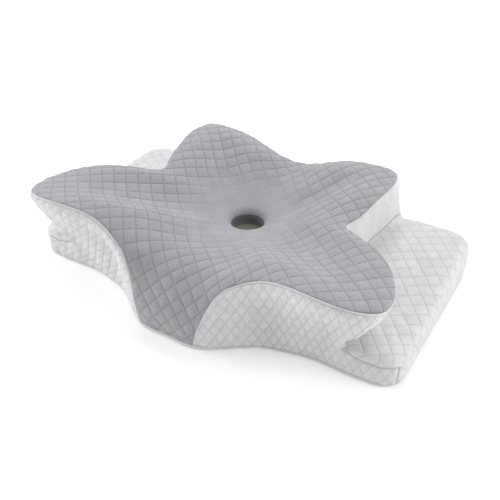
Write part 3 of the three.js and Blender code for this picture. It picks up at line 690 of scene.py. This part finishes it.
def cover_panel(name, mask, lift, quilt, roll=SEAM_ROLL_DEPTH):
    """A closed padded panel over a mask of coarse cells: a fine outer face, raised by lift and
    rolled in at its seams, a coarse inner face, and a wall between them along the seams. Where
    the crown runs on into the well's lining, its edge isn't rolled in."""
    fine_mask = np.kron(mask, np.ones((FINE, FINE), bool))
    outer = cell_corners(fine_mask, 1)
    inner = cell_corners(mask, FINE)
    seams = open_edges(inner)
    runs = [edge_run(a, b) for a, b in seams]
    rim = np.unique(np.concatenate(runs)) if runs else np.zeros(0, int)

    flat_surface, flat_normals = surface.reshape(-1, 3), normals.reshape(-1, 3)
    used = np.unique(outer)
    number = np.full(COLUMNS * ROWS, -1)
    number[used] = np.arange(len(used))
    points = flat_surface[used].copy()

    # The edge is drawn in towards the panel's own cells.
    inward = np.zeros((COLUMNS * ROWS, 3))
    middles = flat_surface[outer].mean(1)
    for corner in outer.T:
        np.add.at(inward, corner, middles - flat_surface[corner])
    size = np.linalg.norm(inward, axis=1, keepdims=True)
    inward = inward / np.maximum(size, TINY) * SEAM_GAP
    edge_shift = np.zeros((COLUMNS * ROWS, 3))
    edge_shift[rim] = inward[rim]

    rolled = rim[rim % ROWS > SLEEVE_ROW * FINE] if mask[:, SLEEVE_ROW:].any() else rim
    away = distance_to(points, flat_surface[rolled])
    near = np.clip(1 - away / SEAM_ROLL_WIDTH, 0, 1)
    puffed = lift.reshape(-1)[used] * (1 - SEAM_FLATTENING * near)
    rise = puffed - roll * (1 - np.sqrt(1 - near**2))
    points += flat_normals[used] * rise[:, None] + edge_shift[used]

    back = np.unique(inner)
    back_number = np.full(COLUMNS * ROWS, -1)
    back_number[back] = np.arange(len(back)) + len(used)
    back_points = flat_surface[back] - flat_normals[back] * COVER_THICKNESS + edge_shift[back]

    faces = number[outer].tolist() + back_number[inner][:, ::-1].tolist()
    for (a, b), run in zip(seams, runs):
        faces.append([*number[run[::-1]], back_number[a], back_number[b]])
    piece = link(name, np.concatenate([points, back_points]), faces)
    both = np.concatenate([used, back])
    store(piece, "quilt", "FLOAT_VECTOR", quilt.reshape(-1, 3)[both])
    store(piece, "tone", "FLOAT", cell_tone(quilt).reshape(-1)[both])
    weld(piece)
    smooth(piece)
    return piece


WELD_DISTANCE = 2e-6


def weld(piece):
    """Merges points that coincide, which also removes faces of no size."""
    mesh = bmesh.new()
    mesh.from_mesh(piece.data)
    bmesh.ops.remove_doubles(mesh, verts=mesh.verts, dist=WELD_DISTANCE)
    bmesh.ops.dissolve_degenerate(mesh, dist=WELD_DISTANCE, edges=mesh.edges)
    mesh.to_mesh(piece.data)
    mesh.free()


# ---------------- materials
def new_material(name):
    material = bpy.data.materials.new(name)
    material.use_nodes = True
    return material, material.node_tree, material.node_tree.nodes["Principled BSDF"]


def feed(tree, node, inputs):
    """Sets a node's inputs. Each is a number, a colour or another node's socket."""
    for key, value in dict(inputs).items():
        if isinstance(value, bpy.types.NodeSocket):
            tree.links.new(value, node.inputs[key])
        else:
            node.inputs[key].default_value = value


def add(tree, kind, inputs=(), **settings):
    node = tree.nodes.new(kind)
    for key, value in settings.items():
        setattr(node, key, value)
    feed(tree, node, inputs)
    return node


def maths(tree, operation, *values):
    return add(tree, "ShaderNodeMath", enumerate(values), operation=operation).outputs[0]


def ramp(tree, value, low, high, to_low, to_high):
    """A smooth step of a value from one range to another."""
    inputs = enumerate([value, low, high, to_low, to_high])
    return add(tree, "ShaderNodeMapRange", inputs, interpolation_type="SMOOTHSTEP").outputs[0]


def noise(tree, scale, detail, vector=None):
    inputs = {"Scale": scale, "Detail": detail}
    if vector is not None:
        inputs["Vector"] = vector
    return add(tree, "ShaderNodeTexNoise", inputs).outputs[0]


def mottle(tree, scale, detail, darkest, lightest):
    """Noise as a brightness. Its scale is the number of its cells across the piece's box."""
    return ramp(tree, noise(tree, scale, detail), 0.3, 0.7, darkest, lightest)


def shade(tree, colour, amount):
    """A colour multiplied by a brightness."""
    inputs = {0: colour, "Scale": amount}
    return add(tree, "ShaderNodeVectorMath", inputs, operation="SCALE").outputs[0]


def bump(tree, relief, strength):
    """The shader's normal for a relief in metres."""
    inputs = {"Height": relief, "Strength": strength, "Distance": 1.0}
    return add(tree, "ShaderNodeBump", inputs).outputs[0]


# Width and height of a knitted loop, in metres, and depths of the cloth's relief
WALE = 0.0016
COURSE = 0.0013
LOOP_DEPTH = 0.00025
FUZZ_DEPTH = 0.0003
GROOVE_DEPTH = 0.0007
CLOTH_BUMP = 0.8
CLOTH_SPECULAR = 0.2


def knit_height(tree):
    """Height of a fine knit: columns of small slanted loops, laid over the surface by its place."""
    place = add(tree, "ShaderNodeTexCoord").outputs["Object"]
    x, y, z = add(tree, "ShaderNodeSeparateXYZ", {0: place}).outputs
    across = maths(tree, "DIVIDE", maths(tree, "ADD", x, maths(tree, "MULTIPLY", z, 0.6)), WALE)
    up = maths(tree, "DIVIDE", maths(tree, "ADD", y, maths(tree, "MULTIPLY", z, 0.8)), COURSE)
    wale = maths(tree, "MULTIPLY", maths(tree, "PINGPONG", across, 0.5), 2.0)
    slanted = maths(tree, "ADD", up, maths(tree, "MULTIPLY", wale, 0.6))
    loops = maths(tree, "SINE", maths(tree, "MULTIPLY", slanted, 2 * math.pi))
    loops = maths(tree, "MULTIPLY_ADD", loops, 0.5, 0.5)
    return maths(tree, "MULTIPLY", loops, maths(tree, "MULTIPLY_ADD", wale, 0.6, 0.4))


def quilted_knit(name, colour, groove_width, groove_painted_shade, heather):
    """Knit cloth sewn in diamonds, with painted shade in the sewn grooves: flecked, and slightly
    different from cell to cell."""
    material, tree, shader = new_material(name)
    quilt = add(tree, "ShaderNodeAttribute", attribute_name="quilt")
    a, b, deep = add(tree, "ShaderNodeSeparateXYZ", {0: quilt.outputs["Vector"]}).outputs
    nearest = maths(
        tree, "MINIMUM", maths(tree, "PINGPONG", a, 0.5), maths(tree, "PINGPONG", b, 0.5))
    line = maths(tree, "MULTIPLY", ramp(tree, nearest, 0.0, groove_width, 1.0, 0.0), deep)

    flecks = ramp(tree, noise(tree, 520, 4), 0.35, 0.68, 1 - heather, 1 + heather)
    patches = mottle(tree, 14, 3, 0.965, 1.035)
    tone = add(tree, "ShaderNodeAttribute", attribute_name="tone").outputs["Fac"]
    cells = ramp(tree, tone, 0.0, 1.0, 0.97, 1.03)
    amount = maths(tree, "MULTIPLY", maths(tree, "MULTIPLY", flecks, patches), cells)
    # Painted shade: the colour is darkened along the grooves.
    amount = maths(tree, "MULTIPLY", amount, ramp(tree, line, 0.0, 1.0, 1.0, 1 - groove_painted_shade))

    relief = maths(tree, "MULTIPLY", knit_height(tree), LOOP_DEPTH)
    relief = maths(tree, "MULTIPLY_ADD", noise(tree, 500, 4), FUZZ_DEPTH, relief)
    relief = maths(tree, "MULTIPLY_ADD", line, -GROOVE_DEPTH, relief)
    feed(tree, shader, {
        "Base Color": shade(tree, colour, amount), "Normal": bump(tree, relief, CLOTH_BUMP),
        "Roughness": 0.92, "Sheen Weight": 0.25, "Sheen Roughness": 0.5,
        "Specular IOR Level": CLOTH_SPECULAR})
    return material


def plain_cloth(name, colour, depth=0.0002, roughness=0.9, sheen=0.15):
    material, tree, shader = new_material(name)
    patches, flecks = mottle(tree, 40, 3, 0.96, 1.04), mottle(tree, 1100, 2, 0.95, 1.05)
    amount = maths(tree, "MULTIPLY", patches, flecks)
    relief = maths(tree, "MULTIPLY", knit_height(tree), depth)
    feed(tree, shader, {
        "Base Color": shade(tree, colour, amount), "Normal": bump(tree, relief, CLOTH_BUMP),
        "Roughness": roughness, "Sheen Weight": sheen, "Specular IOR Level": CLOTH_SPECULAR})
    return material


def foam_material(colour, pore_depth):
    material, tree, shader = new_material("memory_foam")
    pores = add(tree, "ShaderNodeTexVoronoi", {"Scale": 900.0}).outputs["Distance"]
    feed(tree, shader, {
        "Base Color": shade(tree, colour, mottle(tree, 25, 3, 0.94, 1.04)),
        "Normal": bump(tree, maths(tree, "MULTIPLY", pores, pore_depth), 0.9), "Roughness": 0.95})
    return material


def zinc_material(colour, scratch_depth):
    """Metal brushed along X."""
    material, tree, shader = new_material("satin_zinc")
    place = add(tree, "ShaderNodeTexCoord").outputs["Object"]
    brushed = add(tree, "ShaderNodeMapping", {"Vector": place, "Scale": (300, 4000, 4000)})
    grain = noise(tree, 1.0, 3, brushed.outputs[0])
    feed(tree, shader, {
        "Base Color": colour, "Metallic": 1.0, "Roughness": ramp(tree, grain, 0.3, 0.7, 0.28, 0.42),
        "Normal": bump(tree, maths(tree, "MULTIPLY", grain, scratch_depth), 0.6)})
    return material


def nylon_material(colour):
    material, tree, shader = new_material("nylon")
    patches = mottle(tree, 400, 2, 0.93, 1.03)
    feed(tree, shader, {"Base Color": shade(tree, colour, patches), "Roughness": 0.42})
    return material


GREY = (0.335, 0.33, 0.352)
WHITE = (0.62, 0.62, 0.63)
# Each quilted knit's fourth number darkens its grooves as painted shade.
grey_knit = quilted_knit("grey_knit", GREY, 0.11, 0.16, 0.18)
white_knit = quilted_knit("white_knit", WHITE, 0.1, 0.1, 0.04)
# The well's lining is the grey knit darkened to 0.14: painted shade for the deep well.
painted_shade_knit = plain_cloth("well_knit_painted_shade", (0.14, 0.14, 0.15))
# The floor patch's olive hue is its own; its dark value is partly painted shade of the well.
olive_knit_painted_shade = plain_cloth("olive_knit_painted_shade", (0.135, 0.137, 0.102))
jersey = plain_cloth("liner_jersey", (0.68, 0.675, 0.665), 0.0001)
edging = plain_cloth("edging_knit", (0.66, 0.66, 0.67))
tape_cloth = plain_cloth("zip_tape_weave", (0.6, 0.6, 0.615), 0.0003)
satin = plain_cloth("label_satin", (0.75, 0.75, 0.73), 0.00006, 0.45, 0.3)
foam = foam_material((0.86, 0.78, 0.56), 0.0006)
zinc = zinc_material((0.62, 0.63, 0.65, 1), 0.00004)
nylon = nylon_material((0.58, 0.58, 0.6))


def finish_piece(piece, material, slot, *nodes):
    """Gives a soft piece its material, rides it on the pillow and hides its CAD solids. Its slot is
    not used.
    """
    piece.data.materials.clear()
    piece.data.materials.append(material)
    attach(piece, "pillow")
    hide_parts(*nodes)
    return piece


# ---------------- camera
CAMERA_PLACE = (0.43783, -0.68295, 0.59971)    # metres
CAMERA_TURN, CAMERA_DROP = math.radians(31.558), math.radians(34.79)
SENSOR_WIDTH = 36
FOCAL_LENGTH = 47.2
CLIP_START = 0.02


def place_camera():
    """Three quarters from the front right, looking down."""
    camera = bpy.data.objects.new("camera", bpy.data.cameras.new("camera"))
    bpy.context.scene.collection.objects.link(camera)
    camera.location = CAMERA_PLACE
    look = Vector((
        -math.sin(CAMERA_TURN) * math.cos(CAMERA_DROP),
        math.cos(CAMERA_TURN) * math.cos(CAMERA_DROP), -math.sin(CAMERA_DROP)))
    camera.rotation_euler = look.to_track_quat("-Z", "Y").to_euler()
    camera.data.sensor_width = SENSOR_WIDTH
    camera.data.lens = FOCAL_LENGTH
    camera.data.clip_start = CLIP_START
    bpy.context.scene.camera = camera


place_camera()


# ---------------- cover
CROWN_PUFF = 1.35
WALL_PUFF = 1.2
SHELF_PUFF = 0.7
SMOOTH_PUFF = 0.2
MEAN_PUFF = 0.6                      # about the mean of puff() over the cloth
LEAST_PUFF, PUFF_RANGE = 0.85, 0.3   # how much fuller one diamond is than another

crown_cloth = crown_quilt()
wall_cloth = wall_quilt()
shelf_cloth = shelf_quilt()


def raised(quilt, amount, share):
    """Lift of the outer face: level with the CAD surface on average, lower in the grooves."""
    size = amount * (LEAST_PUFF + PUFF_RANGE * cell_tone(quilt))
    return size * quilt[..., 2] * (puff(quilt, share) - MEAN_PUFF)


crown_lift = raised(crown_cloth, CROWN_PUFF, (1, 1))
wall_lift = raised(wall_cloth, WALL_PUFF, (1, 0.7))
shelf_lift = raised(shelf_cloth, SHELF_PUFF, shelf_shares())
smooth_cloth = wall_cloth * (1, 1, 0.2)
smooth_lift = raised(wall_cloth, SMOOTH_PUFF, (1, 0.5))
no_lift = np.zeros((COLUMNS, ROWS))


def cover():
    crown = cover_panel(
        "crown_cover", region((-90, 90, SLEEVE_ROW, SEAM_ROW, 0)), crown_lift, crown_cloth)
    finish_piece(crown, grey_knit, "grey_knit", "crown_panel")
    # The well's lining and floor patch carry painted shade in their colours.
    sleeve = cover_panel(
        "well_lining", region((-90, 90, FLOOR_ROW, SLEEVE_ROW, 0)), no_lift, crown_cloth, roll=0.0)
    finish_piece(sleeve, painted_shade_knit, "grey_knit", "well_sleeve")
    patch = cover_panel(
        "well_patch", region((-90, 90, FLOOR_START, FLOOR_ROW, 0)), no_lift, crown_cloth, roll=0.4)
    finish_piece(patch, olive_knit_painted_shade, "olive_patch", "well_floor_patch")

    for word, side in (("right", 1), ("left", -1)):
        front = cover_panel(
            f"front_cover_{word}",
            region(
                (NECK_SEAM, SLOT_END, SEAM_ROW, BASE_ROW, side),
                (SLOT_END, WING_SEAM, SEAM_ROW, UNDERSIDE_ROW, side),
                (SLOT_END, FRONT_CORNER, SLAB_EDGE_ROW, BASE_ROW, side)),
            wall_lift, wall_cloth)
        finish_piece(front, white_knit, "white_knit", f"front_panel_{word}")
        shelf = cover_panel(
            f"shelf_cover_{word}",
            region(
                (SLOT_END, REAR_SEAM, UNDERSIDE_ROW, SLAB_EDGE_ROW, side),
                (FRONT_CORNER, BACK_CORNER, SLAB_EDGE_ROW, BASE_ROW, side)),
            shelf_lift, shelf_cloth)
        finish_piece(shelf, white_knit, "white_knit", f"shelf_panel_{word}")
        wall = cover_panel(
            f"side_cover_{word}", region((WING_SEAM, REAR_SEAM, SEAM_ROW, UNDERSIDE_ROW, side)),
            smooth_lift, smooth_cloth)
        finish_piece(wall, white_knit, "white_knit", f"side_panel_{word}")

    rear = cover_panel(
        "rear_cover",
        region(
            (REAR_SEAM, 90, SEAM_ROW, SLAB_EDGE_ROW, 0),
            (BACK_CORNER, 90, SLAB_EDGE_ROW, ZIP_TOP_ROW, 0),
            (BACK_CORNER, ZIP_END, ZIP_TOP_ROW, BASE_ROW, 0)),
        wall_lift, wall_cloth)
    finish_piece(rear, white_knit, "white_knit", "rear_panel")
    bottom = cover_panel(
        "bottom_cover", region((-90, 90, BASE_ROW, LAST_ROW, 0)), no_lift, wall_cloth * (1, 1, 0))
    finish_piece(bottom, white_knit, "white_knit", "bottom_panel")


cover()


# ---------------- foam and liner
def coarse_shell(name, mask, outer, inner=None):
    """A smooth closed body over a mask of coarse cells: from one depth to another, or solid."""
    corners = cell_corners(mask, FINE)
    used = np.unique(corners)
    number = np.full(COLUMNS * ROWS, -1)
    number[used] = np.arange(len(used))
    flat_surface, flat_normals = surface.reshape(-1, 3)[used], normals.reshape(-1, 3)[used]
    points, faces = flat_surface - flat_normals * outer, number[corners].tolist()
    if inner is not None:
        points = np.concatenate([points, flat_surface - flat_normals * inner])
        faces += (number[corners][:, ::-1] + len(used)).tolist()
        for a, b in open_edges(corners):
            faces.append([number[b], number[a], number[a] + len(used), number[b] + len(used)])
    piece = link(name, points, faces)
    weld(piece)
    smooth(piece)
    return piece


def core_and_liner():
    whole = np.ones((COARSE_COLUMNS, LAST_ROW), bool)
    depth = COVER_THICKNESS + LAYER_GAP
    core = coarse_shell("foam_block", whole, depth + LINER_THICKNESS + LAYER_GAP)
    finish_piece(core, foam, "foam", "foam_core")
    closed = ~region((LINER_SLIT, 90, ZIP_TOP_ROW, BASE_ROW, 0))
    liner = coarse_shell("liner_sleeve", closed, depth, depth + LINER_THICKNESS)
    finish_piece(liner, jersey, "liner_jersey", "inner_liner")


core_and_liner()


# ---------------- edging and zip
EDGING_RADIUS = 0.85
EDGING_DEPTH = 0.7
EDGING_SIDES = 8


def crown_edging():
    """The thin rolled edge that shows between the grey crown and the white sides: a tube along the
    crown's seam, closed at both ends."""
    own, row, sides = bearings >= NECK_SEAM, SEAM_ROW * FINE, EDGING_SIDES
    spine = surface[own, row] - normals[own, row] * EDGING_DEPTH
    tangents = np.gradient(spine, axis=0)
    tangents /= np.linalg.norm(tangents, axis=1, keepdims=True)
    up = np.array([0, 0, 1.0]) - tangents * tangents[:, 2:3]
    up /= np.linalg.norm(up, axis=1, keepdims=True)
    across = np.cross(tangents, up)
    turns = 2 * math.pi * np.arange(sides) / sides
    rings = spine[:, None] + EDGING_RADIUS * (
        np.cos(turns)[:, None] * across[:, None] + np.sin(turns)[:, None] * up[:, None])
    count = len(spine)
    faces = [
        [i * sides + j, (i + 1) * sides + j, (i + 1) * sides + (j + 1) % sides,
         i * sides + (j + 1) % sides] for i in range(count - 1) for j in range(sides)]
    faces += [list(range(sides)), [(count - 1) * sides + j for j in range(sides)][::-1]]
    piece = link("crown_edging", rings.reshape(-1, 3), faces)
    smooth(piece)
    finish_piece(piece, edging, "white_piping", "crown_piping")


TAPE_STEP = 1.6
TAPE_CELLS = 16
TAPE_SINK = 0.35      # the tape's mean face lies this far inside its CAD solid
# Height, distance from the edge by the coil, and width
TAPE_BEAD = (0.25, 1.0, 0.6)
TAPE_STITCH = (0.16, 4.4, 0.35)
STITCH_PITCH = 2.8
STITCH_GAP = -0.2     # a stitch shows where the sine of its pitch is above this
# Height and length of the two waves that run along the tape
TAPE_WAVES = ((0.12, 17), (0.08, 7.3))


def zip_tape(name, node):
    """Half of the zip's tape, with a beaded edge by the coil and a row of stitches along it."""
    low, high = box_mm(node)
    xs = np.arange(low[0], high[0] + 1, TAPE_STEP)
    zs = np.linspace(low[2], high[2], TAPE_CELLS + 1)
    inset = np.abs(zs - (high[2] if "lower" in node else low[2]))
    bead, sewn = [
        rise * np.exp(-((inset - place) / width)**2)
        for rise, place, width in (TAPE_BEAD, TAPE_STITCH)]
    face = []
    for x in xs:
        stitch = sewn * (math.sin(2 * math.pi * x / STITCH_PITCH) > STITCH_GAP)
        wave = sum(rise * math.sin(x / length) for rise, length in TAPE_WAVES)
        face.append([(x, high[1] - TAPE_SINK + wave + rise, z) for z, rise in zip(zs, bead + stitch)])
    face = np.array(face)
    back = face[:, ::TAPE_CELLS].copy()
    back[..., 1] = low[1]
    m, n = face.shape[:2]
    points = np.concatenate([face.reshape(-1, 3), back.reshape(-1, 3)])
    back_id = np.arange(m * 2).reshape(m, 2) + m * n
    ids = np.arange(m * n).reshape(m, n)
    faces = []
    for i in range(m - 1):
        faces += [[ids[i, j], ids[i, j + 1], ids[i + 1, j + 1], ids[i + 1, j]] for j in range(n - 1)]
        faces.append([back_id[i, 0], back_id[i + 1, 0], back_id[i + 1, 1], back_id[i, 1]])
        faces.append([ids[i, 0], ids[i + 1, 0], back_id[i + 1, 0], back_id[i, 0]])
        faces.append([ids[i, -1], back_id[i, 1], back_id[i + 1, 1], ids[i + 1, -1]])
    faces.append([*ids[0, ::-1], back_id[0, 0], back_id[0, 1]])
    faces.append([*ids[-1], back_id[-1, 1], back_id[-1, 0]])
    piece = link(name, points, faces)
    smooth(piece, SHEET_ANGLE)
    finish_piece(piece, tape_cloth, "zip_tape", node)


COIL_PITCH = 3.2
COIL_SIDES = 10
COIL_ENDS = (1.2, 1)    # room left at the ends of the CAD bar
TURN_HALF_LENGTH = 0.66
# Place along a turn and its thickness, as shares of its half length and of the bar's section
TURN_SHAPE = [[-1, 0.35], [-0.8, 0.8], [-0.35, 1], [0.35, 1], [0.8, 0.8], [1, 0.35]]


def zip_coil(name, node, shift):
    """Half of the coil: a row of small round-ended turns of nylon, side by side."""
    low, high = box_mm(node)
    middle_y, middle_z = (low[1] + high[1]) / 2, (low[2] + high[2]) / 2
    half_y, half_z = (high[1] - low[1]) / 2, (high[2] - low[2]) / 2
    round_turn = 2 * math.pi * np.arange(COIL_SIDES) / COIL_SIDES
    points, faces = [], []
    for x in np.arange(low[0] + COIL_ENDS[0] + shift, high[0] - COIL_ENDS[1], COIL_PITCH / 2):
        start = len(points)
        for along_x, width in TURN_SHAPE:
            for angle in round_turn:
                points.append((
                    x + TURN_HALF_LENGTH * along_x, middle_y + half_y * width * math.cos(angle),
                    middle_z + half_z * width * math.sin(angle)))
        for ring in range(start, len(points) - COIL_SIDES, COIL_SIDES):
            following = ring + COIL_SIDES
            for j in range(COIL_SIDES):
                after = (j + 1) % COIL_SIDES
                faces.append([ring + j, ring + after, following + after, following + j])
        faces.append(list(range(start, start + COIL_SIDES))[::-1])
        faces.append(list(range(len(points) - COIL_SIDES, len(points))))
    piece = link(name, points, faces)
    smooth(piece, TURN_ANGLE)
    finish_piece(piece, nylon, "zip_nylon", node)


LABEL_CELLS = 12
LABEL_CURL = 0.5
LABEL_WAVE = 0.15
LABEL_THICKNESS = 0.35


def care_label():
    """A blank satin label that hangs from the rear seam, curling a little away from the wall."""
    low, high = box_mm("care_label")
    xs, zs = [np.linspace(low[i], high[i], LABEL_CELLS + 1) for i in (0, 2)]
    fall = (high[2] - zs) / (high[2] - low[2])
    curl = LABEL_CURL * fall**2
    front = np.array([[
        (x, high[1] + c + LABEL_WAVE * math.sin(3 * t + x / 6), z) for z, c, t in zip(zs, curl, fall)
    ] for x in xs])
    back = front - (0, LABEL_THICKNESS, 0)
    n = len(zs)
    ids = np.arange(len(xs) * n).reshape(len(xs), n)
    top = ids.size
    faces = []
    for i in range(len(xs) - 1):
        for j in range(n - 1):
            quad = [ids[i, j], ids[i, j + 1], ids[i + 1, j + 1], ids[i + 1, j]]
            faces += [quad, [v + top for v in quad[::-1]]]
    loop = [*ids[:, 0], *ids[-1, 1:], *ids[-2::-1, -1], *ids[0, -2:0:-1]]
    for a, b in zip(loop, loop[1:] + loop[:1]):
        faces.append([a, b, b + top, a + top])
    piece = link("blank_label", np.concatenate([front.reshape(-1, 3), back.reshape(-1, 3)]), faces)
    smooth(piece, SHEET_ANGLE)
    finish_piece(piece, satin, "label_satin", "care_label")


METAL_BEVELS = {
    "zip_slider": 0.5, "zip_pull_tab": 0.3, "zip_stop_right": 0.4, "zip_stop_left": 0.4}


def metal_piece(node, bevel):
    """A CAD node that stays, with rounded edges and the zip's metal."""
    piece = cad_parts[node]
    piece.data.materials.clear()
    piece.data.materials.append(zinc)
    rounding = piece.modifiers.new("rounding", "BEVEL")
    rounding.width = bevel * MM
    rounding.segments = 3
    rounding.limit_method = "ANGLE"
    rounding.harden_normals = True


def fastening():
    crown_edging()
    zip_tape("tape_lower", "zip_tape_lower")
    zip_tape("tape_upper", "zip_tape_upper")
    zip_coil("coil_lower", "zip_coil_lower", 0)
    zip_coil("coil_upper", "zip_coil_upper", COIL_PITCH / 4)
    care_label()
    for node, bevel in METAL_BEVELS.items():
        metal_piece(node, bevel)


fastening()


# ---------------- light and floor
LIGHT_AIM = (0, 0, 0.05)
# Name, place, size and power of each softbox, in metres and watts
SOFTBOXES = [
    ("top", (-0.3, 1.2, 1.8), 1.0, 27),
    ("left", (-2.1, -0.8, 0.6), 1.6, 46),
    ("right", (2.0, 0.2, 0.8), 1.4, 24),
]
WORLD_LIGHT = 0.54
FLOOR_REACH = 4000
FLOOR_Z = -0.2
FLOOR_GLOW = 0.17


def softbox(name, place, size, power):
    """A square area light that faces the pillow."""
    light = bpy.data.objects.new(name, bpy.data.lights.new(name, "AREA"))
    light.data.size = size
    light.data.energy = power
    light.location = place
    light.rotation_euler = (Vector(LIGHT_AIM) - Vector(place)).to_track_quat("-Z", "Y").to_euler()
    bpy.context.scene.collection.objects.link(light)


def light_scene():
    corners = [(-1, -1), (1, -1), (1, 1), (-1, 1)]
    points = [(FLOOR_REACH * x, FLOOR_REACH * y, FLOOR_Z) for x, y in corners]
    floor = link("floor", points, [range(4)])
    material, tree, shader = new_material("pale_floor")
    feed(tree, shader, {
        "Base Color": (0.95, 0.95, 0.95, 1), "Roughness": 0.8, "Emission Color": (1, 1, 1, 1),
        "Emission Strength": FLOOR_GLOW})
    floor.data.materials.append(material)
    world = bpy.data.worlds.new("studio")
    world.use_nodes = True
    sky = world.node_tree.nodes["Background"]
    feed(world.node_tree, sky, {"Color": (1, 1, 1, 1), "Strength": WORLD_LIGHT})
    bpy.context.scene.world = world
    for settings in SOFTBOXES:
        softbox(*settings)
    bpy.context.scene.view_settings.view_transform = "Standard"


light_scene()
